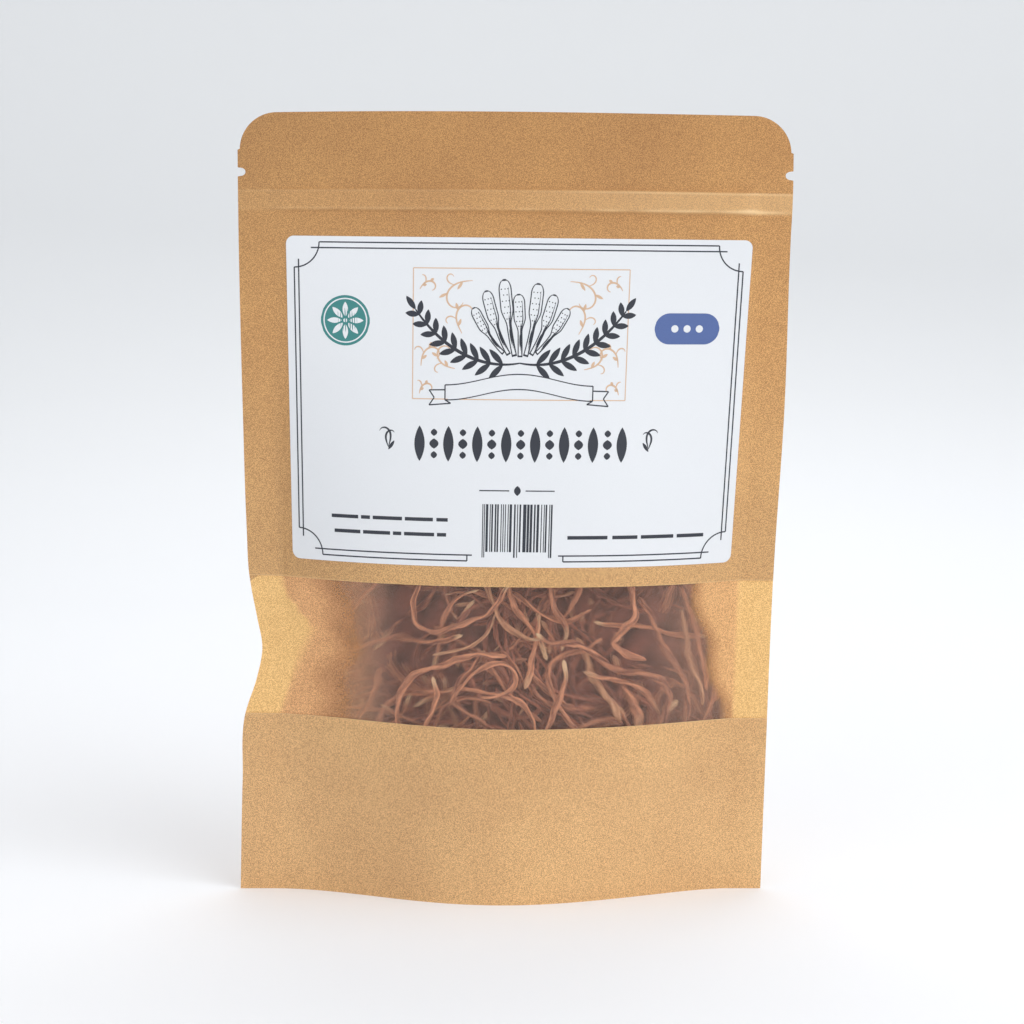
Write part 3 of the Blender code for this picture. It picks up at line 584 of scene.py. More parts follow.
def make_film():
    """Frosted window film: clear, slightly warm, and rough enough to blur what lies deep behind it, with an
    alpha that lets half of the view straight through."""
    material, tree, shader, place = new_material(
        "frosted_film", Transmission_Weight=1.0, IOR=1.2, Roughness=0.11, Specular_IOR_Level=0.3, Alpha=0.5)
    tree.links.new(ramp(tree, noise(tree, place, 500), (0.3, (0.93, 0.90, 0.88)), (0.7, (0.99, 0.97, 0.96))),
                   shader.inputs["Base Color"])
    return material


def make_bloom(group):
    """The film's milky bloom: a thin even haze, thicker and tan where the film lies on the paper, and golden
    where it is sealed to it or pressed flat, a painted glow that stands in for light through the paper and
    off the flat
    facet.  Attributes: haze is its density, lying and the glow attribute choose its colour."""
    material, tree, shader, place = new_material("film_bloom", Roughness=0.55, Specular_IOR_Level=0.25)
    out = fibre(tree, group, place, 1.0)
    grain = ramp(tree, out["Grain"], (0.43, 0), (0.57, 1))
    haze = add(tree, "ShaderNodeAttribute", attribute_name="haze").outputs["Fac"]
    fused_painted_glow = add(tree, "ShaderNodeAttribute", attribute_name="fused_painted_glow").outputs["Fac"]
    lying = add(tree, "ShaderNodeAttribute", attribute_name="lying").outputs["Fac"]
    milk = blend_colours(tree, grain, (0.60, 0.37, 0.30), (0.81, 0.52, 0.43))
    tan = blend_colours(tree, grain, (0.60, 0.295, 0.14), (0.88, 0.48, 0.235))
    # Painted glow: a brighter copy of the tan, for light through the paper from behind
    painted_glow_gold = blend_colours(tree, grain, (0.68, 0.39, 0.145), (1.0, 0.66, 0.28))
    on_paper = blend_colours(tree, fused_painted_glow, tan, painted_glow_gold)
    tree.links.new(blend_colours(tree, lying, milk, on_paper), shader.inputs["Base Color"])
    dense = math(tree, "MULTIPLY", haze, math(tree, "MULTIPLY_ADD", out["Grain"], 0.5, 0.75))
    tree.links.new(math(tree, "MINIMUM", dense, 1.0), shader.inputs["Alpha"])
    return material


def make_label_paper(group):
    """Smooth bluish white label paper with barely visible fibre."""
    material, tree, shader, place = new_material("label_paper", Roughness=0.42, Specular_IOR_Level=0.4)
    out = fibre(tree, group, place, 0.8)
    base = blend_colours(tree, out["Grain"], (0.765, 0.785, 0.81), (0.82, 0.84, 0.87))
    tree.links.new(base, shader.inputs["Base Color"])
    bump(tree, shader, out["Fibre"], 0.02, 0.4)
    return material


def make_ink(group, name, light, dark):
    """Printed ink with slight mottling."""
    material, tree, shader, place = new_material("ink_" + name, Roughness=0.5)
    out = fibre(tree, group, place, 0.5)
    tree.links.new(blend_colours(tree, out["Grain"], dark, light), shader.inputs["Base Color"])
    return material


def make_zip_plastic(group):
    """Milky soft plastic of the zip strips."""
    material, tree, shader, place = new_material("zip_plastic", Roughness=0.35)
    out = fibre(tree, group, place, 2.0)
    tree.links.new(blend_colours(tree, out["Grain"], (0.74, 0.71, 0.62), (0.84, 0.82, 0.74)),
                   shader.inputs["Base Color"])
    return material


def make_cordyceps(name, deep, middle, pale):
    """Dried cordyceps skin: lengthwise wrinkles along the strand's own map, with streaky colour from the same
    noise, darker in the furrows as painted shade, lighter where the section stands out (attribute ridge) as
    painted highlight, paler towards its tips (attribute pale), with each strand a little lighter or darker
    (attribute tone)."""
    material, tree, shader, place = new_material(name, Roughness=0.62, Specular_IOR_Level=0.4,
                                                 Sheen_Weight=0.15, Sheen_Roughness=0.4)
    uv = tree.nodes.new("ShaderNodeUVMap").outputs[0]
    wrinkled = add(tree, "ShaderNodeMapping")
    wrinkled.inputs["Scale"].default_value = (1.9, 1.1, 1.0)
    tree.links.new(uv, wrinkled.inputs["Vector"])
    furrow = noise(tree, wrinkled.outputs[0], 3.0, detail=4.0, roughness=0.65)
    blotch = noise(tree, place, 260, detail=3.0)
    tone = add(tree, "ShaderNodeAttribute", attribute_name="tone").outputs["Fac"]
    tip = add(tree, "ShaderNodeAttribute", attribute_name="pale").outputs["Fac"]
    ridge = add(tree, "ShaderNodeAttribute", attribute_name="ridge").outputs["Fac"]
    # Painted shade and highlight: low furrow noise darkens the skin, and the ridge attribute lightens it
    light = math(tree, "ADD", math(tree, "MULTIPLY", furrow, 0.75), math(tree, "MULTIPLY", blotch, 0.45))
    light = math(tree, "MULTIPLY_ADD", ridge, 0.24, math(tree, "MULTIPLY_ADD", tone, 0.18, light))
    skin = blend_colours(tree, ramp(tree, light, (0.34, 0), (0.92, 1)), deep, middle)
    tipped = blend_colours(tree, ramp(tree, math(tree, "ADD", tip, math(tree, "MULTIPLY", furrow, 0.35)),
                                      (0.42, 0), (1.05, 1)), skin, pale)
    tree.links.new(tipped, shader.inputs["Base Color"])
    bump(tree, shader, furrow, 0.25, 0.9)
    return material


def make_packed():
    """The closely packed strands deep in the pouch: purple-brown painted near black as shade, redder on their
    crests (attribute crest) as painted highlight, with fine specks."""
    material, tree, shader, place = new_material("packed_strands_painted_shade", Roughness=0.75, Specular_IOR_Level=0.2)
    crest = add(tree, "ShaderNodeAttribute", attribute_name="crest").outputs["Fac"]
    speck = noise(tree, place, 500, detail=4.0)
    light = math(tree, "ADD", math(tree, "MULTIPLY", crest, 0.6), math(tree, "MULTIPLY", speck, 0.6))
    # Painted shade and highlight: near-black in the hollows, lighter red on the crests
    tree.links.new(blend_colours(tree, ramp(tree, light, (0.40, 0), (0.95, 1)), (0.029, 0.016, 0.018),
                                 (0.28, 0.105, 0.075)), shader.inputs["Base Color"])
    bump(tree, shader, speck, 0.6)
    return material


def make_materials():
    """Every finish on the pouch, by name."""
    grain = make_fibre_group()
    return {
        "kraft": make_kraft(grain),
        "edge": make_cut_edge(grain),
        "film": make_film(),
        "bloom": make_bloom(grain),
        "label": make_label_paper(grain),
        "slate": make_ink(grain, "slate", (0.040, 0.046, 0.062), (0.015, 0.018, 0.029)),
        "tan": make_ink(grain, "tan", (0.74, 0.52, 0.36), (0.62, 0.41, 0.27)),
        "teal": make_ink(grain, "teal", (0.05, 0.27, 0.26), (0.03, 0.19, 0.19)),
        "blue": make_ink(grain, "blue", (0.10, 0.17, 0.40), (0.07, 0.11, 0.30)),
        "zip": make_zip_plastic(grain),
        BROWN: make_cordyceps("cordyceps_skin", (0.17, 0.050, 0.029), (0.95, 0.42, 0.225),
                              (0.96, 0.66, 0.38)),
        CREAM: make_cordyceps("cordyceps_pale_skin", (0.36, 0.14, 0.07), (0.86, 0.48, 0.265),
                              (0.95, 0.68, 0.42)),
        # Painted shade: a darker copy of the brown skin for the strands lying deeper in the pouch
        DEEP_SHADED: make_cordyceps("cordyceps_shaded_deep_skin", (0.075, 0.025, 0.018), (0.56, 0.205, 0.12),
                             (0.66, 0.36, 0.20)),
        "packed": make_packed(),
    }


# ---------------------------------------------------------------- papers, film and zip

def make_papers(finish):
    """The back paper, the front papers above and below the window, each with its cut edge."""
    skins = (finish["kraft"], finish["edge"])
    x, z = sheet_grid(0, POUCH_HEIGHT)
    inner = seam(x, z) + back_depth(x, z) + BACK_INNER
    points, faces, rim = slab(x, z, inner - fused_edge(x, z)[1], inner + PAPER)
    make_piece("kraft_back", points, faces, skins, ("back_panel",), rim,
               values={"painted_sheen_and_gloss": np.tile(painted_sheen_and_gloss(x, z, 0).ravel(), 2)})
    for name, node, foot, head in (("kraft_front_upper", "front_upper_panel", WINDOW_HEAD, POUCH_HEIGHT),
                                   ("kraft_front_lower", "front_lower_panel", 0, WINDOW_FOOT)):
        x, z = sheet_grid(foot, head)
        outer = seam(x, z) - front_depth(x, z) + FRONT_OUTER
        points, faces, rim = slab(x, z, outer, outer + PAPER + fused_edge(x, z)[0])
        make_piece(name, points, faces, skins, (node,), rim,
                   values={"painted_sheen_and_gloss": np.tile(painted_sheen_and_gloss(x, z, 1).ravel(), 2)})


# The bloom: its thickness and its density, where the film nears the back paper on both sides, the thin
# veil before that, and the pinch (heights, x)
BLOOM_LIFT, BLOOM_THICKNESS = 0.03, 0.012
BLOOM_EVEN, BLOOM_ON_PAPER, BLOOM_FUSED, SMUDGE = 0.07, 0.84, 1.25, 0.7
LEFT_NEAR, LEFT_FADE = -42.5, 13
RIGHT_NEAR, RIGHT_LEAN, RIGHT_FADE = 55.5, 0.24, 6
LEFT_VEIL, LEFT_VEIL_X, LEFT_VEIL_FADE = 0.29, -29, 17
RIGHT_VEIL, RIGHT_VEIL_X, RIGHT_VEIL_FADE = 0.09, 30, 20
PINCH_Z, PINCH_X = (50.4, 73, 86), (-65.5, -55, -65.5)


def make_window(finish):
    """The window film, and its bloom a hair in front: haze = even part + thin veil towards both sides +
    part where the film nears the back paper, smudged where it starts: along a slanted line on the right,
    and more slowly on the left.  The film is pressed flat left of the pinch, a bent line whose upper half
    is a sharp crease."""
    x, z = sheet_grid(FILM_FOOT, FILM_HEAD)
    front = seam(x, z) - front_depth(x, z) + FILM_FRONT
    points, faces, _ = slab(x, z, front, front + FILM)
    make_piece("film_window", points, faces, (finish["film"],), ("window_film",))
    left, right = side_edges(z)
    fused_painted_glow = 1 - ease((np.minimum(x - left, right - x) - SEAL_WIDTH + 0.5) / 1.0)
    near_left = ease((LEFT_NEAR + 2.2 * np.sin(z / 5) + np.sin(z / 2.1 + 1) - x) / LEFT_FADE)
    near_right = ease((x - RIGHT_NEAR + RIGHT_LEAN * (z - 50) + np.sin(z / 3)) / RIGHT_FADE)
    near = np.maximum(near_left, near_right)
    pinch = np.interp(z, PINCH_Z, PINCH_X)
    soft = np.interp(z, (PINCH_Z[0], PINCH_Z[1], PINCH_Z[1] + 1), (7, 4, 0.5))
    pressed = ease((pinch - x) / soft + 0.5) * ease((PINCH_Z[2] + 0.5 - z) / 0.6)
    veil = (LEFT_VEIL * ease((LEFT_VEIL_X - x) / LEFT_VEIL_FADE)
            + RIGHT_VEIL * ease((x - RIGHT_VEIL_X) / RIGHT_VEIL_FADE))
    smudge = (0.5 + 0.5 * np.sin(x / 2.4 + 1.6 * np.sin(z / 6)) * np.sin(z / 4.3 + 0.7)) ** 2
    haze = BLOOM_EVEN + (BLOOM_ON_PAPER - veil) * near + veil - SMUDGE * near * (1 - near) * smudge
    haze += (BLOOM_FUSED - BLOOM_EVEN - BLOOM_ON_PAPER) * np.maximum(fused_painted_glow, pressed)
    # Painted glow: the second colour attribute makes the bloom golden on the seals, left of the pinch and,
    # less, where the film nears the back paper
    values = {"haze": haze, "lying": np.clip(near * 4 + veil * 2.5, 0, 1),
              "fused_painted_glow": np.clip(fused_painted_glow + 0.85 * pressed + 0.4 * near_right + 0.18 * near_left**2, 0, 1)}
    points, faces, _ = slab(x, z, front - BLOOM_LIFT, front - BLOOM_LIFT + BLOOM_THICKNESS)
    make_piece("film_bloom", points, faces, (finish["bloom"],),
               values={key: np.tile(value.ravel(), 2) for key, value in values.items()})


def gusset_surface(u):
    """Upper face of the gusset at places u across, as (places, points, xyz): up the front seal, over the
    fold as a tent with a rounded ridge, and down the back seal."""
    u = u[:, None]
    t = np.linspace(-1, 1, GUSSET_ROWS)[None, :]
    seal = GUSSET_SEAL + (GUSSET_FOLD - GUSSET_SEAL) * np.abs(u) ** 3
    low = np.linspace(0, 1, GUSSET_SEAL_ROWS)[None, :-1] * seal
    z = np.hstack((low, np.broadcast_to(seal, (len(u), t.shape[1])), low[:, ::-1]))
    x = swell_place(z, u)
    front = seam(x, z) - front_depth(x, z) + FRONT_OUTER + PAPER + GUSSET_CLEAR
    back = seam(x, z) + back_depth(x, z) + BACK_INNER - GUSSET_CLEAR
    count = low.shape[1]
    middle = slice(count, -count)
    half = (back[:, middle] - front[:, middle]) / 2
    tent = 1 - (np.hypot(t, GUSSET_ROUND) - GUSSET_ROUND) / (np.hypot(1, GUSSET_ROUND) - GUSSET_ROUND)
    rise = np.sqrt(np.clip((GUSSET_FOLD - seal) ** 2 - half**2, 0, None))
    y = np.hstack((front[:, :count], (front[:, middle] + back[:, middle]) / 2 + half * t, back[:, -count:]))
    z[:, middle] += rise * tent
    return np.stack((x, y, z), axis=2)


def make_gusset(finish):
    """The folded bottom sheet: its upper face and a lower face one sheet inside it."""
    upper = gusset_surface(np.linspace(-GUSSET_REACH, GUSSET_REACH, GUSSET_COLUMNS))
    step = np.gradient(upper[:, :, 1:], axis=1)
    normal = np.stack((step[..., 1], -step[..., 0]), axis=2)
    normal /= np.linalg.norm(normal, axis=2)[..., None]
    normal[:, 0], normal[:, -1] = (1, 0), (-1, 0)
    lower = upper.copy()
    lower[..., 1:] += GUSSET_SHEET * normal
    rings = np.concatenate((upper, lower[:, ::-1]), axis=1)[::-1]
    tips = rings[[0, -1]].mean(axis=1)
    points, faces = tube(rings, tips)
    make_piece("gusset_fold", points, faces, (finish["kraft"],), ("bottom_gusset",))


def make_zip(finish):
    """The zip's strips keep their own solids and take the milky plastic."""
    for node in ("zip_strip_front", "zip_strip_back"):
        for strip_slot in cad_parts[node].material_slots:
            strip_slot.material = finish["zip"]


# ---------------------------------------------------------------- label and its print

def label_point(a, b, lift):
    """The pouch's x, y and height at a point of the label: a across and b up from the label's middle, and
    lift off its face."""
    t = (b / LABEL_HALF_HEIGHT + 1) / 2
    left = LABEL_LEFT[0] + (LABEL_LEFT[1] - LABEL_LEFT[0]) * t
    right = LABEL_RIGHT[0] + (LABEL_RIGHT[1] - LABEL_RIGHT[0]) * t
    x = (left + right) / 2 + (right - left) / 2 * a / LABEL_HALF_WIDTH
    z = (LABEL_FOOT + LABEL_HEAD) / 2 + (LABEL_HEAD - LABEL_FOOT) / 2 * b / LABEL_HALF_HEIGHT
    y = seam(x, z) - front_depth(x, z) + FRONT_OUTER - LABEL_GAP - LABEL_THICKNESS - lift
    return x, y, z


def make_label(finish):
    """The label: a rounded rectangle a hair off the paper."""
    inset = LABEL_CORNER * (1 - np.cos(np.linspace(0, np.pi / 2, LABEL_CORNER_COLUMNS)))
    end = LABEL_HALF_WIDTH - LABEL_CORNER
    middle = np.linspace(-end, end, LABEL_COLUMNS)
    corner = LABEL_HALF_WIDTH - inset[:-1]
    a = np.concatenate((-corner, middle, corner[::-1]))[None, :]
    inward = np.clip(np.abs(a) - end, 0, LABEL_CORNER)
    half = LABEL_HALF_HEIGHT - LABEL_CORNER + np.sqrt(LABEL_CORNER**2 - inward**2)
    b = np.linspace(-1, 1, LABEL_ROWS)[:, None] * half
    a = np.broadcast_to(a, b.shape)
    x, y, z = label_point(a, b, 0)
    points, faces, _ = slab(x, z, y, y + LABEL_THICKNESS)
    make_piece("paper_label", points, faces, (finish["label"],), ("label",))


# How far the printed ribbons reach into the label, and the upright line that the motif is mirrored on
PRINT_SINK = 0.02
MIDDLE = 0.85


class Print:
    """Strokes of one ink, gathered into one mesh of thin raised ribbons on the label."""

    def __init__(self, thickness=0.03):
        self.thickness = thickness
        self.points, self.faces, self.count = [], [], 0

    def stroke(self, path, width):
        """A ribbon along a path of (a, b) points; width is one number or one for each point."""
        path = np.asarray(path, dtype=float)
        along = np.gradient(path, axis=0)
        along /= np.maximum(np.linalg.norm(along, axis=1), 1e-9)[:, None]
        half = np.broadcast_to(width, len(path))[:, None] / 2
        aside = half * np.column_stack((-along[:, 1], along[:, 0]))
        corners = ((path + aside, -PRINT_SINK), (path + aside, self.thickness),
                   (path - aside, self.thickness), (path - aside, -PRINT_SINK))
        ring = []
        for place, lift in corners:
            x, y, z = label_point(place[:, 0], place[:, 1], lift)
            ring.append(np.column_stack((x, y, standing(x, z))))
        rings = np.stack(ring, axis=1)
        quads = grid_faces(len(path), 4, wrapped=True)
        last = (len(path) - 1) * 4
        caps = np.array(((3, 2, 1, 0), (last, last + 1, last + 2, last + 3)))
        self.points.append(rings.reshape(-1, 3))
        self.faces.append(np.vstack((quads, caps)) + self.count)
        self.count += len(path) * 4

    def make(self, name, material, slot):
        """The finished mesh of this ink."""
        return make_piece(name, np.vstack(self.points), np.vstack(self.faces).tolist(), (material,))


def line(start, end, count=24):
    """Points along a straight line."""
    t = np.linspace(0, 1, count)[:, None]
    return np.array(start) * (1 - t) + np.array(end) * t


def arc(centre, radius, start, end, count=24):
    """Points along an arc, from angle start to angle end in degrees."""
    angle = np.radians(np.linspace(start, end, count))
    return np.array(centre) + radius * np.column_stack((np.cos(angle), np.sin(angle)))


def scroll(start, heading, length, bend_start, bend_end, count=48):
    """A curl whose curvature runs evenly from bend_start to bend_end (turns in degrees a millimetre)."""
    s = np.linspace(0, length, count)
    angle = np.radians(heading + bend_start * s + (bend_end - bend_start) * s**2 / (2 * length))
    step = np.diff(s, prepend=0)[:, None] * np.column_stack((np.cos(angle), np.sin(angle)))
    return np.array(start) + np.cumsum(step, axis=0)


def taper(count, widest, end=0.15):
    """Widths of a pen stroke: widest in the middle, thin at both ends."""
    return widest * (end + (1 - end) * np.sin(np.pi * np.linspace(0, 1, count)) ** 0.8)


def leaf(ink, foot, heading, length, width):
    """A filled pointed leaf."""
    tip = np.array(foot) + length * np.array((np.cos(np.radians(heading)), np.sin(np.radians(heading))))
    ink.stroke(line(foot, tip, 14), taper(14, width, 0.03))


def disc(ink, centre, radius):
    """A filled disc, as a ribbon whose width follows the circle."""
    t = np.linspace(-0.995, 0.995, 22)
    path = np.column_stack((centre[0] + radius * t, np.full(len(t), centre[1])))
    ink.stroke(path, 2 * radius * np.sqrt(1 - t**2))


def mirrored(path):
    """The same path on the other side of the middle line."""
    path = np.array(path, dtype=float)
    path[:, 0] = 2 * MIDDLE - path[:, 0]
    return path


# The double rule: half its size, its corners' radius, its gap at the foot, and its inner line
FRAME_HALF = (61.35, 42.4)
FRAME_NOTCH = 6.9
FRAME_GAP = (-12.8, 14.5)
INNER_IN = (1.2, 1.55)
INNER_START = 4.65
RULE = 0.36


def print_frame(ink):
    """The double rule with hollow round corners, open at the foot for the bars."""
    wide, tall = FRAME_HALF
    sides = {
        "top": line((-wide + FRAME_NOTCH, tall), (wide - FRAME_NOTCH, tall), 80),
        "left": line((-wide, -tall + FRAME_NOTCH), (-wide, tall - FRAME_NOTCH), 60),
        "right": line((wide, -tall + FRAME_NOTCH), (wide, tall - FRAME_NOTCH), 60),
        "foot_left": line((-wide + FRAME_NOTCH, -tall), (FRAME_GAP[0], -tall), 40),
        "foot_right": line((FRAME_GAP[1], -tall), (wide - FRAME_NOTCH, -tall), 40),
    }
    for path in sides.values():
        ink.stroke(path, RULE)
    for across, up, start in ((-1, 1, 270), (1, 1, 180), (1, -1, 90), (-1, -1, 0)):
        ink.stroke(arc((across * wide, up * tall), FRAME_NOTCH, start, start + 90), RULE)
    inner_wide, inner_tall = wide - INNER_IN[0], tall - INNER_IN[1]
    ink.stroke(line((-wide + INNER_START, inner_tall), (wide - INNER_START, inner_tall), 80), RULE)
    for side in (-1, 1):
        across = side * inner_wide
        ink.stroke(line((across, -tall + INNER_START), (across, tall - INNER_START), 60), RULE)
    ink.stroke(line((-wide + INNER_START, -inner_tall), (FRAME_GAP[0] + 1.4, -inner_tall), 40), RULE)
    ink.stroke(line((FRAME_GAP[1] - 1.4, -inner_tall), (wide - INNER_START, -inner_tall), 40), RULE)
    for end in FRAME_GAP:
        ink.stroke(line((end, -tall), (end, -inner_tall), 4), RULE)


# The panel's left, right, foot and head, and its open curls: start, heading, length, turn at both ends
PANEL = (-28.7, 30.4, 0.6, 35.7)
FLOURISHES = (((-12.5, 32.4), 183, 16, 0.5, 30), ((-15.2, 18.2), 118, 13, 2, -38),
              ((-26.9, 30.0), 62, 7.5, -3, -58), ((-17.0, 8.8), 170, 12, -1, -38),
              ((-26.4, 9.4), 88, 11, -0.5, -42), ((-26.8, 2.0), 80, 6.5, -3, -62))


def flourish(ink, start, heading, length, first, last):
    """An open curl with a smaller one off its other side and two leaves, all mirrored left to right."""
    curl = scroll(start, heading, length, first, last)
    along = np.degrees(np.arctan2(*np.gradient(curl, axis=0)[:, ::-1].T))
    way = np.sign(last)
    branch = scroll(curl[15], along[15] - 40 * way, 0.36 * length, -8 * way, -78 * way)
    for path, width in ((curl, 0.5), (branch, 0.38)):
        for side in (path, mirrored(path)):
            ink.stroke(side, taper(len(side), width, 0.35))
    for index, turn in ((8, 44), (24, -44)):
        tip = along[index] + turn * way
        leaf(ink, curl[index], tip, 0.16 * length, 0.8)
        leaf(ink, mirrored(curl[index][None])[0], 180 - tip, 0.16 * length, 0.8)


def print_scrollwork(ink):
    """The thin panel behind the motif: its frame, with open curls in its corners."""
    left, right, low, high = PANEL
    for path in (line((left, high), (right, high), 40), line((left, low), (right, low), 40),
                 line((left, low), (left, high), 30), line((right, low), (right, high), 30)):
        ink.stroke(path, 0.28)
    for curl in FLOURISHES:
        flourish(ink, *curl)


CLUB_DOT = 0.17


def club(dark, white, shade, foot, heading, length, width, bend):
    """A drawn cordyceps: a dark outline round a pale slender stalk and long head, stroked along one side
    of the stalk and stippled over the head."""
    spine = scroll(foot, heading, length, bend, bend * 0.3, 40)
    t = np.linspace(0, 1, 40)
    shape = width * (0.40 + 0.60 * ease((t - 0.40) / 0.22))
    shape = shape * np.sqrt(np.clip(1 - (np.clip((t - 0.86) / 0.14, 0, 1)) ** 2, 0.03, 1))
    dark.stroke(spine, shape)
    white.stroke(spine[1:-1], np.clip(shape[1:-1] - 0.62, 0.05, None))
    along = np.gradient(spine, axis=0)
    aside = np.column_stack((along[:, 1], -along[:, 0])) / np.linalg.norm(along, axis=1)[:, None]
    for shift, first, last in ((0.26, 2, 36), (0.12, 4, 22), (-0.05, 6, 15)):
        path = (spine + aside * (shape * shift)[:, None])[first:last]
        shade.stroke(path, taper(len(path), 0.3))
    for row, index in enumerate(range(19, 37, 3)):
        for shift in ((-0.28, 0.0, 0.22) if row % 2 else (-0.15, 0.12)):
            disc(shade, spine[index] + aside[index] * shape[index] * shift, CLUB_DOT)


# The drawn clubs: foot (a, b), heading, length, width, bend.  The laurel's twig: foot, heading, length and
# its turn at both ends.  The ribbon: half its length, its middle's height, its wave and its width.  The
# width of a pen line.
CLUBS = ((-3.6, 13.0, 138, 15.0, 2.9, -2.2), (5.3, 13.0, 42, 15.0, 2.9, 2.2),
         (-2.2, 12.6, 121, 18.5, 3.3, -1.4), (3.9, 12.6, 59, 17.5, 3.3, 1.5),
         (-0.6, 12.2, 104, 21.0, 3.6, -0.6), (2.4, 12.2, 74, 20.0, 3.6, 0.9), (0.9, 12.0, 90, 17.0, 3.4, 0.4))
LAUREL = ((MIDDLE, 10.4), 192, 34, -2.7, -1.2)
RIBBON_HALF, RIBBON_HEIGHT, RIBBON_WAVE, RIBBON_WIDTH = 20.5, 5.9, 1.5, 4.0
LINE = 0.34


def print_motif(dark, white, shade):
    """A bunch of clubs between two laurel sprays, over an empty ribbon."""
    for a, b, heading, length, width, bend in CLUBS:
        club(dark, white, shade, (a, b), heading, length, width, bend)
    spray = scroll(*LAUREL, 60)
    for path in (spray, mirrored(spray)):
        dark.stroke(path, taper(len(path), 0.9, 0.4))
        along = np.degrees(np.arctan2(*np.gradient(path, axis=0)[:, ::-1].T))
        for index in range(8, len(path), 6):
            for turn in (46, -46):
                leaf(dark, path[index], along[index] + turn, 5.9 - 2.2 * index / len(path), 1.65)
        leaf(dark, path[-1], along[-1], 4.4, 1.6)
    t = np.linspace(-1, 1, 60)
    top = np.column_stack((MIDDLE + RIBBON_HALF * t, RIBBON_HEIGHT + RIBBON_WAVE * np.cos(np.pi * t)))
    foot = top - (0, RIBBON_WIDTH)
    white.stroke((top + foot)[1:-1] / 2, RIBBON_WIDTH - 0.3)
    for path in (top, foot, line(top[0], foot[0], 6), line(top[-1], foot[-1], 6)):
        dark.stroke(path, LINE)
    for side, end in ((-1, 0), (1, -1)):
        outer = top[end] + (side * 4.4, -1.4)
        fold = line(top[end] - (0, 1.3), outer, 8)
        cut = np.vstack((outer, outer + (-side * 1.4, -RIBBON_WIDTH / 2), outer + (0, -RIBBON_WIDTH)))
        back = line(outer + (0, -RIBBON_WIDTH), foot[end] + (-side * 1.6, -0.9), 8)
        for path in (fold, line(cut[0], cut[1], 5), line(cut[1], cut[2], 5), back,
                     line(foot[end], foot[end] + (-side * 1.6, -0.9), 5)):
            dark.stroke(path, LINE)


# The heavy row: its foot and head, its first and last leaf, how many pieces it has, and its lozenges
# (height, size).  The curls beside it: place and side.
ROW_FOOT, ROW_HEAD = -16.0, -6.6
ROW_START, ROW_END, ROW_COUNT = -26.6, 30.0, 15
LOZENGES = ((-8.3, 1.9), (-11.3, 2.7), (-14.3, 1.9))
ROW_CURLS = ((-35.4, 1), (37.6, -1))


def print_title(ink):
    """A heavy row of tall leaves and small lozenges, with a curl at both sides."""
    for index, a in enumerate(np.linspace(ROW_START, ROW_END, ROW_COUNT)):
        if index % 2 == 0:
            leaf(ink, (a, ROW_FOOT), 90, ROW_HEAD - ROW_FOOT, 2.9)
            continue
        for b, size in LOZENGES:
            ink.stroke(line((a, b - size / 2), (a, b + size / 2), 9), taper(9, size * 0.95, 0.02))
    for a, side in ROW_CURLS:
        for start, heading, length, first, last in (((0, -3), 75, 8, -6, 50), ((0, -3), 105, 6.5, 10, -60)):
            path = scroll(start, heading, length, first, last, 36)
            path[:, 0] *= side
            ink.stroke(path + (a, -9.5), taper(36, 0.55))
        leaf(ink, (a, -13.2), 90 - side * 35, 3.0, 0.9)


# The bars: how many, their left end and width together, their head and foot, the foot of the long ones,
# and the widths and gaps they are drawn from
BAR_COUNT, BARS_LEFT, BARS_WIDTH = 26, -9.0, 20.4
BAR_HEAD, BAR_FOOT, LONG_BAR_FOOT = -27.2, -39.9, -41.4
LONG_BARS = (0, 1, 12, 13, 24, 25)
BAR_WIDTHS, BAR_GAPS = (0.26, 0.26, 0.45, 0.66), (0.26, 0.38, 0.55)

# Rows of plain dashes: height, and where each dash starts and ends; and the two rules over the bars
DASHES = ((-31.6, ((-51.7, -44.0), (-43.2, -40.6), (-39.8, -31.4), (-30.6, -22.6), (-21.6, -18.4))),
          (-35.6, ((-50.9, -43.4), (-42.6, -34.8), (-34.0, -31.6), (-30.8, -22.2), (-21.4, -18.8))),
          (-36.0, ((15.6, 27.0), (28.4, 35.6), (36.6, 46.0), (47.0, 54.8))))
DASH_WIDTH = 0.95
SHORT_RULES, SHORT_RULE_HEIGHT = ((-9.6, -1.2), (3.4, 11.6)), -23.6


def print_small_marks(ink):
    """Plain dashes and rules where small print would be, and a block of bars with nothing under it."""
    for start, end in SHORT_RULES:
        ink.stroke(line((start, SHORT_RULE_HEIGHT), (end, SHORT_RULE_HEIGHT), 10), 0.3)
    ink.stroke(line((1.1, SHORT_RULE_HEIGHT - 1.3), (1.1, SHORT_RULE_HEIGHT + 1.3), 9), taper(9, 1.9, 0.05))
    rng = np.random.default_rng(11)
    widths = rng.choice(BAR_WIDTHS, BAR_COUNT)
    run = np.cumsum(widths + rng.choice(BAR_GAPS, BAR_COUNT))
    for index, (a, width) in enumerate(zip(BARS_LEFT + run * BARS_WIDTH / run[-1], widths)):
        foot = LONG_BAR_FOOT if index in LONG_BARS else BAR_FOOT
        ink.stroke(line((a - width, foot), (a - width, BAR_HEAD), 12), width)
    for b, dashes in DASHES:
        for start, end in dashes:
            ink.stroke(line((start, b), (end, b), 8), DASH_WIDTH)


ROSETTE, ROSETTE_RADIUS = (-47.4, 21.3), 6.8
PILL_ENDS, PILL_HEIGHT, PILL_RADIUS = (42.0, 51.6), 19.9, 4.2
PILL_DOTS = (43.4, 46.8, 50.2)


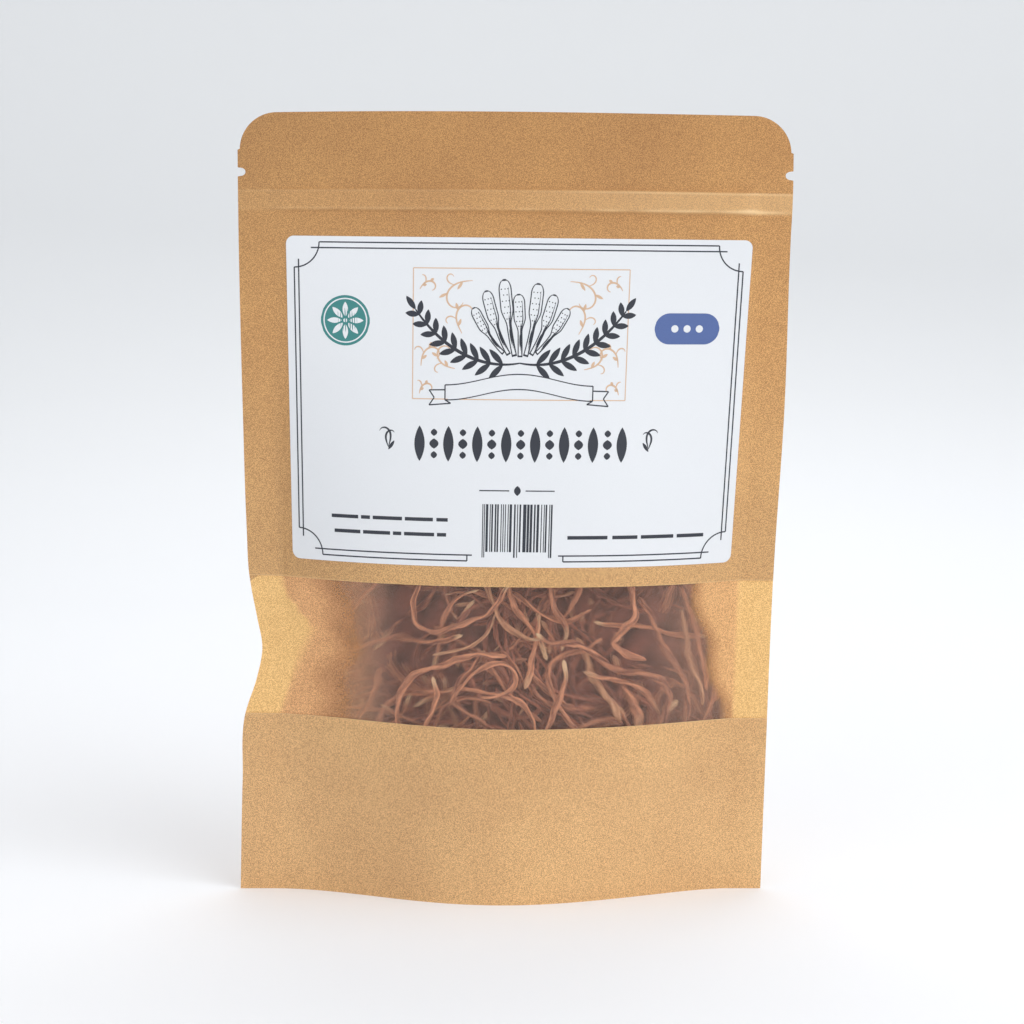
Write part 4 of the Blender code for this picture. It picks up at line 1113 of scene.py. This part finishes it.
def print_badges(teal, blue, white):
    """A plain teal rosette on the left, and a plain blue pill with three dots on the right."""
    disc(teal, ROSETTE, ROSETTE_RADIUS)
    white.stroke(arc(ROSETTE, ROSETTE_RADIUS - 0.9, 0, 361, 90), 0.35)
    for turn in range(0, 360, 45):
        way = np.radians(turn)
        leaf(white, np.array(ROSETTE) + (np.cos(way), np.sin(way)), turn, 4.0, 1.5)
    disc(white, ROSETTE, 0.55)
    blue.stroke(line(*((a, PILL_HEIGHT) for a in PILL_ENDS)), 2 * PILL_RADIUS)
    for a in PILL_ENDS:
        disc(blue, (a, PILL_HEIGHT), PILL_RADIUS)
    for a in PILL_DOTS:
        disc(white, (a, PILL_HEIGHT), 1.0)


def make_print(finish):
    """All the label's print, one mesh for each ink and layer."""
    slate, tan, teal, blue = Print(), Print(0.02), Print(), Print()
    white, shade = Print(0.05), Print(0.07)
    print_frame(slate)
    print_scrollwork(tan)
    print_motif(slate, white, shade)
    print_title(slate)
    print_small_marks(slate)
    print_badges(teal, blue, white)
    for ink, name, material in ((slate, "print_slate", "slate"), (tan, "print_tan", "tan"),
                                (teal, "print_teal", "teal"), (blue, "print_blue", "blue"),
                                (white, "print_white", "label"), (shade, "print_shading", "slate")):
        ink.make(name, finish[material], "label_paper")


# ---------------------------------------------------------------- cordyceps

def even_points(route, spacing):
    """Evenly spaced points (x, z) on the smooth curve through a listed route."""
    route = np.array(route, dtype=float)
    along = np.concatenate(([0], np.cumsum(np.hypot(*np.diff(route, axis=0).T))))
    fine = np.linspace(0, along[-1], 240)
    curve = np.column_stack([through(np.column_stack((along, part)), fine) for part in route.T])
    run = np.concatenate(([0], np.cumsum(np.hypot(*np.diff(curve, axis=0).T))))
    count = max(4, int(round(run[-1] / spacing)) + 1)
    at = np.linspace(0, run[-1], count)
    return np.column_stack([np.interp(at, run, part) for part in curve.T])


def strand_radius(radius, growth, count):
    """Radius at each ring: the far end growth times as fat, with both ends narrowed."""
    t = np.linspace(0, 1, count)
    return radius * (1 + (growth - 1) * ease(t)) * (1 - 0.35 * np.abs(2 * t - 1) ** 4)


def between_rings(values):
    """The rings' values and the steps between them, along straight runs."""
    count = len(values)
    at = np.linspace(0, count - 1, (count - 1) * STEPS_PER_RING + 1)
    return np.interp(at, np.arange(count), values)


def lay_strand(points, radius, laid, behind_film=0.0):
    """y of each ring: just behind the film, and behind every strand already laid that it crosses, then
    smoothed by a running maximum and a running mean that never bring it forward."""
    x, z, r = (between_rings(values) for values in (points[:, 0], points[:, 1], radius))
    need = seam(x, z) - front_depth(x, z) + FILM_CLEARANCE + r + behind_film * swell_shape(x, z) ** 2
    for other_x, other_y, other_z, other_r in laid:
        reach = r[:, None] + other_r[None, :] + STRAND_GAP
        apart = (x[:, None] - other_x) ** 2 + (z[:, None] - other_z) ** 2
        lift = np.where(apart < reach**2, other_y + np.sqrt(np.clip(reach**2 - apart, 0, None)), -1e3)
        need = np.maximum(need, lift.max(axis=1))
    count = len(points)
    padded = np.pad(need, STEPS_PER_RING, mode="edge")
    span = 2 * STEPS_PER_RING + 1
    ring_need = np.array([padded[k * STEPS_PER_RING:][:span].max() for k in range(count)])
    padded = np.pad(ring_need, 1, mode="edge")
    highest = np.maximum(np.maximum(padded[:-2], padded[1:-1]), padded[2:])
    padded = np.pad(highest, 1, mode="edge")
    y = (padded[:-2] + padded[1:-1] + padded[2:]) / 3
    return y, (x, between_rings(y), z, r)


def strand_surface(centres, radius, growth, step, sides, rng):
    """A wrinkled, twisted tube round a smooth line through the ring centres.

    The section is R(s) (1 + oval and three-lobed waves that turn slowly along s + finer lengthwise
    furrows), R(s) swells and narrows irregularly, and a club's far end is pimpled.  Returns the rings,
    the tip points, the uv pairs (around, along), the distance of every ring from the nearer end, and how
    far each point stands out of the round section.
    """
    run = np.concatenate(([0], np.cumsum(np.linalg.norm(np.diff(centres, axis=0), axis=1))))
    s = np.linspace(0, run[-1], max(8, int(run[-1] / step)))
    line_points = np.column_stack([through(np.column_stack((run, part)), s) for part in centres.T])
    wave = rng.uniform(0, 2 * np.pi, 8)
    wander = radius.mean() * np.column_stack((
        0.34 * np.sin(s / 2.7 + wave[0]) + 0.16 * np.sin(s / 0.95 + wave[3]),
        0.12 * np.sin(s / 3.7 + wave[1]),
        0.34 * np.sin(s / 3.1 + wave[2]) + 0.16 * np.sin(s / 1.1 + wave[4])))
    line_points = line_points + wander * ease(np.minimum(s, s[-1] - s) / 4)[:, None]
    tangent = np.gradient(line_points, axis=0)
    tangent /= np.linalg.norm(tangent, axis=1)[:, None]
    side = np.cross(tangent, (0, 1, 0))
    side /= np.linalg.norm(side, axis=1)[:, None]
    up = np.cross(side, tangent)
    knots = np.arange(0, s[-1] + 2.6, 1.3)
    uneven = np.interp(s, knots, rng.normal(0, 0.085, len(knots)))
    body = np.interp(s, run, radius) * (0.9 + 0.08 * np.sin(s / 2.3 + wave[3]) + np.clip(uneven, -0.2, 0.14))
    end_round = np.sqrt(np.clip(np.minimum(s, s[-1] - s) / (1.2 * radius.mean()), 0.06, 1))
    angle = 2 * np.pi * np.arange(sides) / sides
    turn = angle[None, :] - (s / rng.uniform(3, 7) * rng.choice((-1, 1)))[:, None]
    lobes = (0.24 * np.cos(2 * turn + wave[5]) + 0.12 * np.cos(3 * turn + wave[6])
             + 0.08 * np.cos(5 * turn + wave[7] + 0.6 * np.sin(s / 3)[:, None]))
    pimple = 0.0
    if growth > 1:
        pimple = 0.10 * ease((s / s[-1] - 0.5) / 0.3)[:, None] * np.sin(4 * angle[None, :] + s[:, None] * 3.1)
    section = (body * end_round)[:, None] * (1 + lobes + pimple)
    outward = (np.cos(angle)[None, :, None] * side[:, None, :]
               + np.sin(angle)[None, :, None] * up[:, None, :])
    rings = line_points[:, None, :] + section[..., None] * outward
    tips = np.vstack((line_points[0] - tangent[0] * 0.15, line_points[-1] + tangent[-1] * 0.15))
    around = np.abs(angle / np.pi - 1)[None, :]
    uv = np.stack(np.broadcast_arrays(around, s[:, None] / 10), axis=2).reshape(-1, 2)
    uv = np.vstack((uv, ((0.5, 0), (0.5, s[-1] / 10))))
    return rings, tips, uv, np.minimum(s, s[-1] - s), np.concatenate(((lobes / 0.4).ravel(), (0, 0)))


def strand_arrays(points, depth, radius, growth, cream, step, sides, rng):
    """Points, faces, uv pairs and colour values of one strand."""
    centres = np.column_stack((points[:, 0], depth, points[:, 1]))
    rings, tips, uv, from_end, ridge = strand_surface(centres, radius, growth, step, sides, rng)
    points, faces = tube(rings, tips)
    reach = rng.uniform(1.5, 6.0)
    strength = rng.choice((0.1, 0.2, 0.5, 0.9))
    fade = np.repeat(strength * np.exp(-(from_end / reach) ** 2), sides)
    pale = np.clip(np.concatenate((fade, (strength, strength))) + (0.15 if cream else 0), 0, 1)
    tone = np.full(len(points), rng.normal(0.0, 0.5))
    return points, faces, uv, {"pale": pale, "tone": tone, "ridge": ridge}


def make_shown_strands(finish, laid):
    """The strands laid against the film, each a piece of its own."""
    for number, (material, radius, growth, route) in enumerate(STRANDS, 1):
        points = even_points(route, RING_SPACING)
        radii = strand_radius(radius, growth, len(points))
        depth, placed = lay_strand(points, radii, laid)
        laid.append(placed)
        rng = np.random.default_rng(100 + number)
        body, faces, uv, values = strand_arrays(points, depth, radii, growth, material == CREAM, RING_STEP,
                                                STRAND_SIDES, rng)
        make_piece(f"strand_{number:02d}", body, faces, (finish[material],),
                   (f"cordyceps_{number:02d}",), uv=uv, values=values)


def make_packed_mass(finish):
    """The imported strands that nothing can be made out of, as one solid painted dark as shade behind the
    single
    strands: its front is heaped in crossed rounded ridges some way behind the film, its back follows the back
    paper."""
    x, z = np.meshgrid(*(np.linspace(low, high, PACKED_POINTS) for low, high in PACKED_REGION))
    crest = (np.abs(np.sin(x / 3.1 + 1.7 * np.sin(z / 7.3)))
             + np.abs(np.sin(z / 3.6 + 1.9 * np.sin(x / 8.1)))) / 2
    behind = PACKED_NEAR + PACKED_DEPTH * swell_shape(x, z) ** 0.4 - PACKED_CREST * crest
    back = seam(x, z) + back_depth(x, z) - PACKED_BACK
    front = np.minimum(seam(x, z) - front_depth(x, z) + FILM_CLEARANCE + behind, back - PACKED_THIN)
    points, faces, _ = slab(x, z, front, back)
    make_piece("strands_packed", points, faces, (finish["packed"],), ("cordyceps_heap",),
               values={"crest": np.tile(crest.ravel(), 2)})


def loose_route(rng, short):
    """A random bent strand: its heading drifts by two slow waves, so it snakes and hooks."""
    (low_x, high_x), (low_z, high_z) = LOOSE_REGION
    count = int(rng.integers(4, 7) if short else rng.integers(6, 11))
    s = np.arange(count) * RING_SPACING
    heading = (rng.uniform(0, 2 * np.pi)
               + rng.uniform(0.3, 0.9) * np.sin(s / rng.uniform(6, 10) + rng.uniform(0, 6)))
    heading += rng.uniform(-0.035, 0.035) * s
    step = RING_SPACING * np.column_stack((np.cos(heading), np.sin(heading)))
    middle, half = (low_x + high_x) / 2, (high_x - low_x) / 2
    start = (middle + half * np.sin(rng.uniform(-1.3 if short else -1.7, 1.7)), rng.uniform(low_z, high_z))
    points = np.array(start) + np.cumsum(step, axis=0) - step.sum(axis=0) / 2
    inside = ((points > (low_x, low_z)) & (points < (high_x, high_z))).all()
    return points if inside else None


def make_loose_strands(finish, laid):
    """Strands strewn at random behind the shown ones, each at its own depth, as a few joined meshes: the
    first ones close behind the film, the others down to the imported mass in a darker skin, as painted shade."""
    rng = np.random.default_rng(7)
    groups = [[] for _ in range(LOOSE_MESHES)]
    for _ in range(LOOSE_COUNT * LOOSE_TRIES):
        total = sum(len(group) for group in groups)
        near_film = total < NEAR_FILM_COUNT
        points = loose_route(rng, near_film)
        if points is None:
            continue
        radius = strand_radius(rng.uniform(*LOOSE_RADIUS), rng.choice((EVEN, EVEN, LOOSE_CLUB)), len(points))
        behind = rng.uniform(*(LOOSE_NEAR if near_film else LOOSE_DEEP))
        depth, _ = lay_strand(points, radius, laid, behind)
        x, z = points.T
        if (depth + radius > seam(x, z) + back_depth(x, z) - BACK_CLEARANCE).any():
            continue
        made = strand_arrays(points, depth, radius, EVEN, False, LOOSE_RING_STEP, LOOSE_SIDES, rng)
        groups[0 if near_film else 1 + total % (LOOSE_MESHES - 1)].append(made)
        if total + 1 == LOOSE_COUNT:
            break
    for index, group in enumerate(groups):
        shift, faces = 0, []
        for points, own, _, _ in group:
            faces += [[corner + shift for corner in face] for face in own]
            shift += len(points)
        values = {key: np.concatenate([made[3][key] for made in group]) for key in ("pale", "tone", "ridge")}
        # Painted shade: the deeper meshes take the darkened skin
        skin = finish[BROWN if index == 0 else DEEP_SHADED]
        make_piece(f"strands_loose_{index + 1}", np.vstack([made[0] for made in group]), faces, (skin,),
                   uv=np.vstack([made[2] for made in group]), values=values)


# ---------------------------------------------------------------- stage, light and camera

# The sweep: its half width, the floor's front and back, the radius of its turn, the wall's rise, and the
# parts of its run that are floor and turn
SWEEP_HALF, FLOOR_FRONT, FLOOR_BACK, SWEEP_RADIUS, WALL_RISE = 2.2, -1.6, 0.7, 1.3, 2.0
FLOOR_PART, TURN_PART = 0.45, 0.3
SWEEP_ROWS, SWEEP_COLUMNS = 60, 12

# The camera: its place, how far it looks down in degrees, and its lens in millimetres
CAMERA_PLACE = (-0.0005, -0.9, 0.2)
CAMERA_PITCH = 6.02
CAMERA_LENS = 115.8


def make_stage():
    """A pale floor that sweeps up into the wall behind, as one smooth surface, which glows faintly as painted
    light.
    """
    t = np.linspace(0, 1, SWEEP_ROWS)[:, None]
    floor = FLOOR_FRONT + np.clip(t / FLOOR_PART, 0, 1) * (FLOOR_BACK - FLOOR_FRONT)
    turn = np.clip((t - FLOOR_PART) / TURN_PART, 0, 1) * np.pi / 2
    wall = np.clip((t - FLOOR_PART - TURN_PART) / (1 - FLOOR_PART - TURN_PART), 0, 1) * WALL_RISE
    x = np.linspace(-SWEEP_HALF, SWEEP_HALF, SWEEP_COLUMNS)[None, :]
    points = np.stack(np.broadcast_arrays(x, floor + SWEEP_RADIUS * np.sin(turn),
                                          wall + SWEEP_RADIUS * (1 - np.cos(turn))), axis=2)
    mesh = bpy.data.meshes.new("sweep")
    mesh.from_pydata(points.reshape(-1, 3), [], grid_faces(SWEEP_ROWS, SWEEP_COLUMNS).tolist())
    mesh.shade_smooth()
    material, tree, shader, place = new_material("sweep_paper", Roughness=0.9, Specular_IOR_Level=0.1)
    apart = add(tree, "ShaderNodeSeparateXYZ")
    tree.links.new(place, apart.inputs[0])
    far = ramp(tree, math(tree, "MULTIPLY", apart.outputs[1], 0.4), (0.05, 0), (0.6, 1))
    base = blend_colours(tree, far, (0.90, 0.908, 0.93), (0.93, 0.945, 0.96))
    tree.links.new(base, shader.inputs["Base Color"])
    # Painted light: the sweep glows, most on the floor in front of and under the pouch, lifting its shadow
    # there, least behind it, and a little more up the wall
    away = math(tree, "MULTIPLY_ADD", apart.outputs[1], 0.5, 0.1)
    glow = ramp(tree, away, (0.02, 0.145), (0.15, 0.09), (0.40, 0.01), (0.65, 0.015), (0.85, 0.045))
    tree.links.new(glow, shader.inputs["Emission Color"])
    shader.inputs["Emission Strength"].default_value = 1.0
    mesh.materials.append(material)
    sweep = bpy.data.objects.new("sweep", mesh)
    bpy.context.scene.collection.objects.link(sweep)


def make_light(name, place, target, size, power, colour=(1, 1, 1)):
    """A square soft light at a place, turned to its target."""
    data = bpy.data.lights.new(name, "AREA")
    data.shape = "SQUARE"
    data.size = size
    data.energy = power
    data.color = colour
    light = bpy.data.objects.new(name, data)
    bpy.context.scene.collection.objects.link(light)
    light.location = place
    light.rotation_euler = (Vector(target) - Vector(place)).to_track_quat("-Z", "Y").to_euler()
    light.visible_camera = False


def make_lights():
    """Plain soft studio light: a large key at the upper front right, a fill at the left, a glow behind, and
    a light on the wall."""
    middle = (0, 0, 0.1)
    make_light("key", (0.95, -1.0, 1.1), middle, 1.4, 15.5)
    make_light("fill", (-0.8, -1.4, 0.55), middle, 1.2, 5.6)
    make_light("behind", (0.1, 0.75, 0.75), (0, 0, 0.08), 0.8, 2.5)
    make_light("wall", (0, 0.2, 1.5), (0, 1.7, 0.6), 1.2, 8)
    world = bpy.data.worlds.new("studio")
    bpy.context.scene.world = world
    world.use_nodes = True
    background = world.node_tree.nodes["Background"]
    background.inputs["Color"].default_value = (0.93, 0.96, 1.0, 1)
    background.inputs["Strength"].default_value = 0.34


def make_camera():
    """The camera: straight on, a little above the label, looking slightly down."""
    data = bpy.data.cameras.new("camera")
    data.lens = CAMERA_LENS
    data.sensor_width = 36
    data.clip_start = 0.01
    camera = bpy.data.objects.new("camera", data)
    bpy.context.scene.collection.objects.link(camera)
    camera.location = CAMERA_PLACE
    camera.rotation_euler = (np.radians(90 - CAMERA_PITCH), 0, 0)
    bpy.context.scene.camera = camera


def main():
    """Make every piece, then the stage."""
    make_camera()
    finish = make_materials()
    make_papers(finish)
    make_window(finish)
    make_gusset(finish)
    make_zip(finish)
    make_label(finish)
    make_print(finish)
    laid = []
    make_shown_strands(finish, laid)
    make_loose_strands(finish, laid)
    make_packed_mass(finish)
    make_stage()
    make_lights()
    bpy.context.scene.view_settings.view_transform = "Standard"


main()
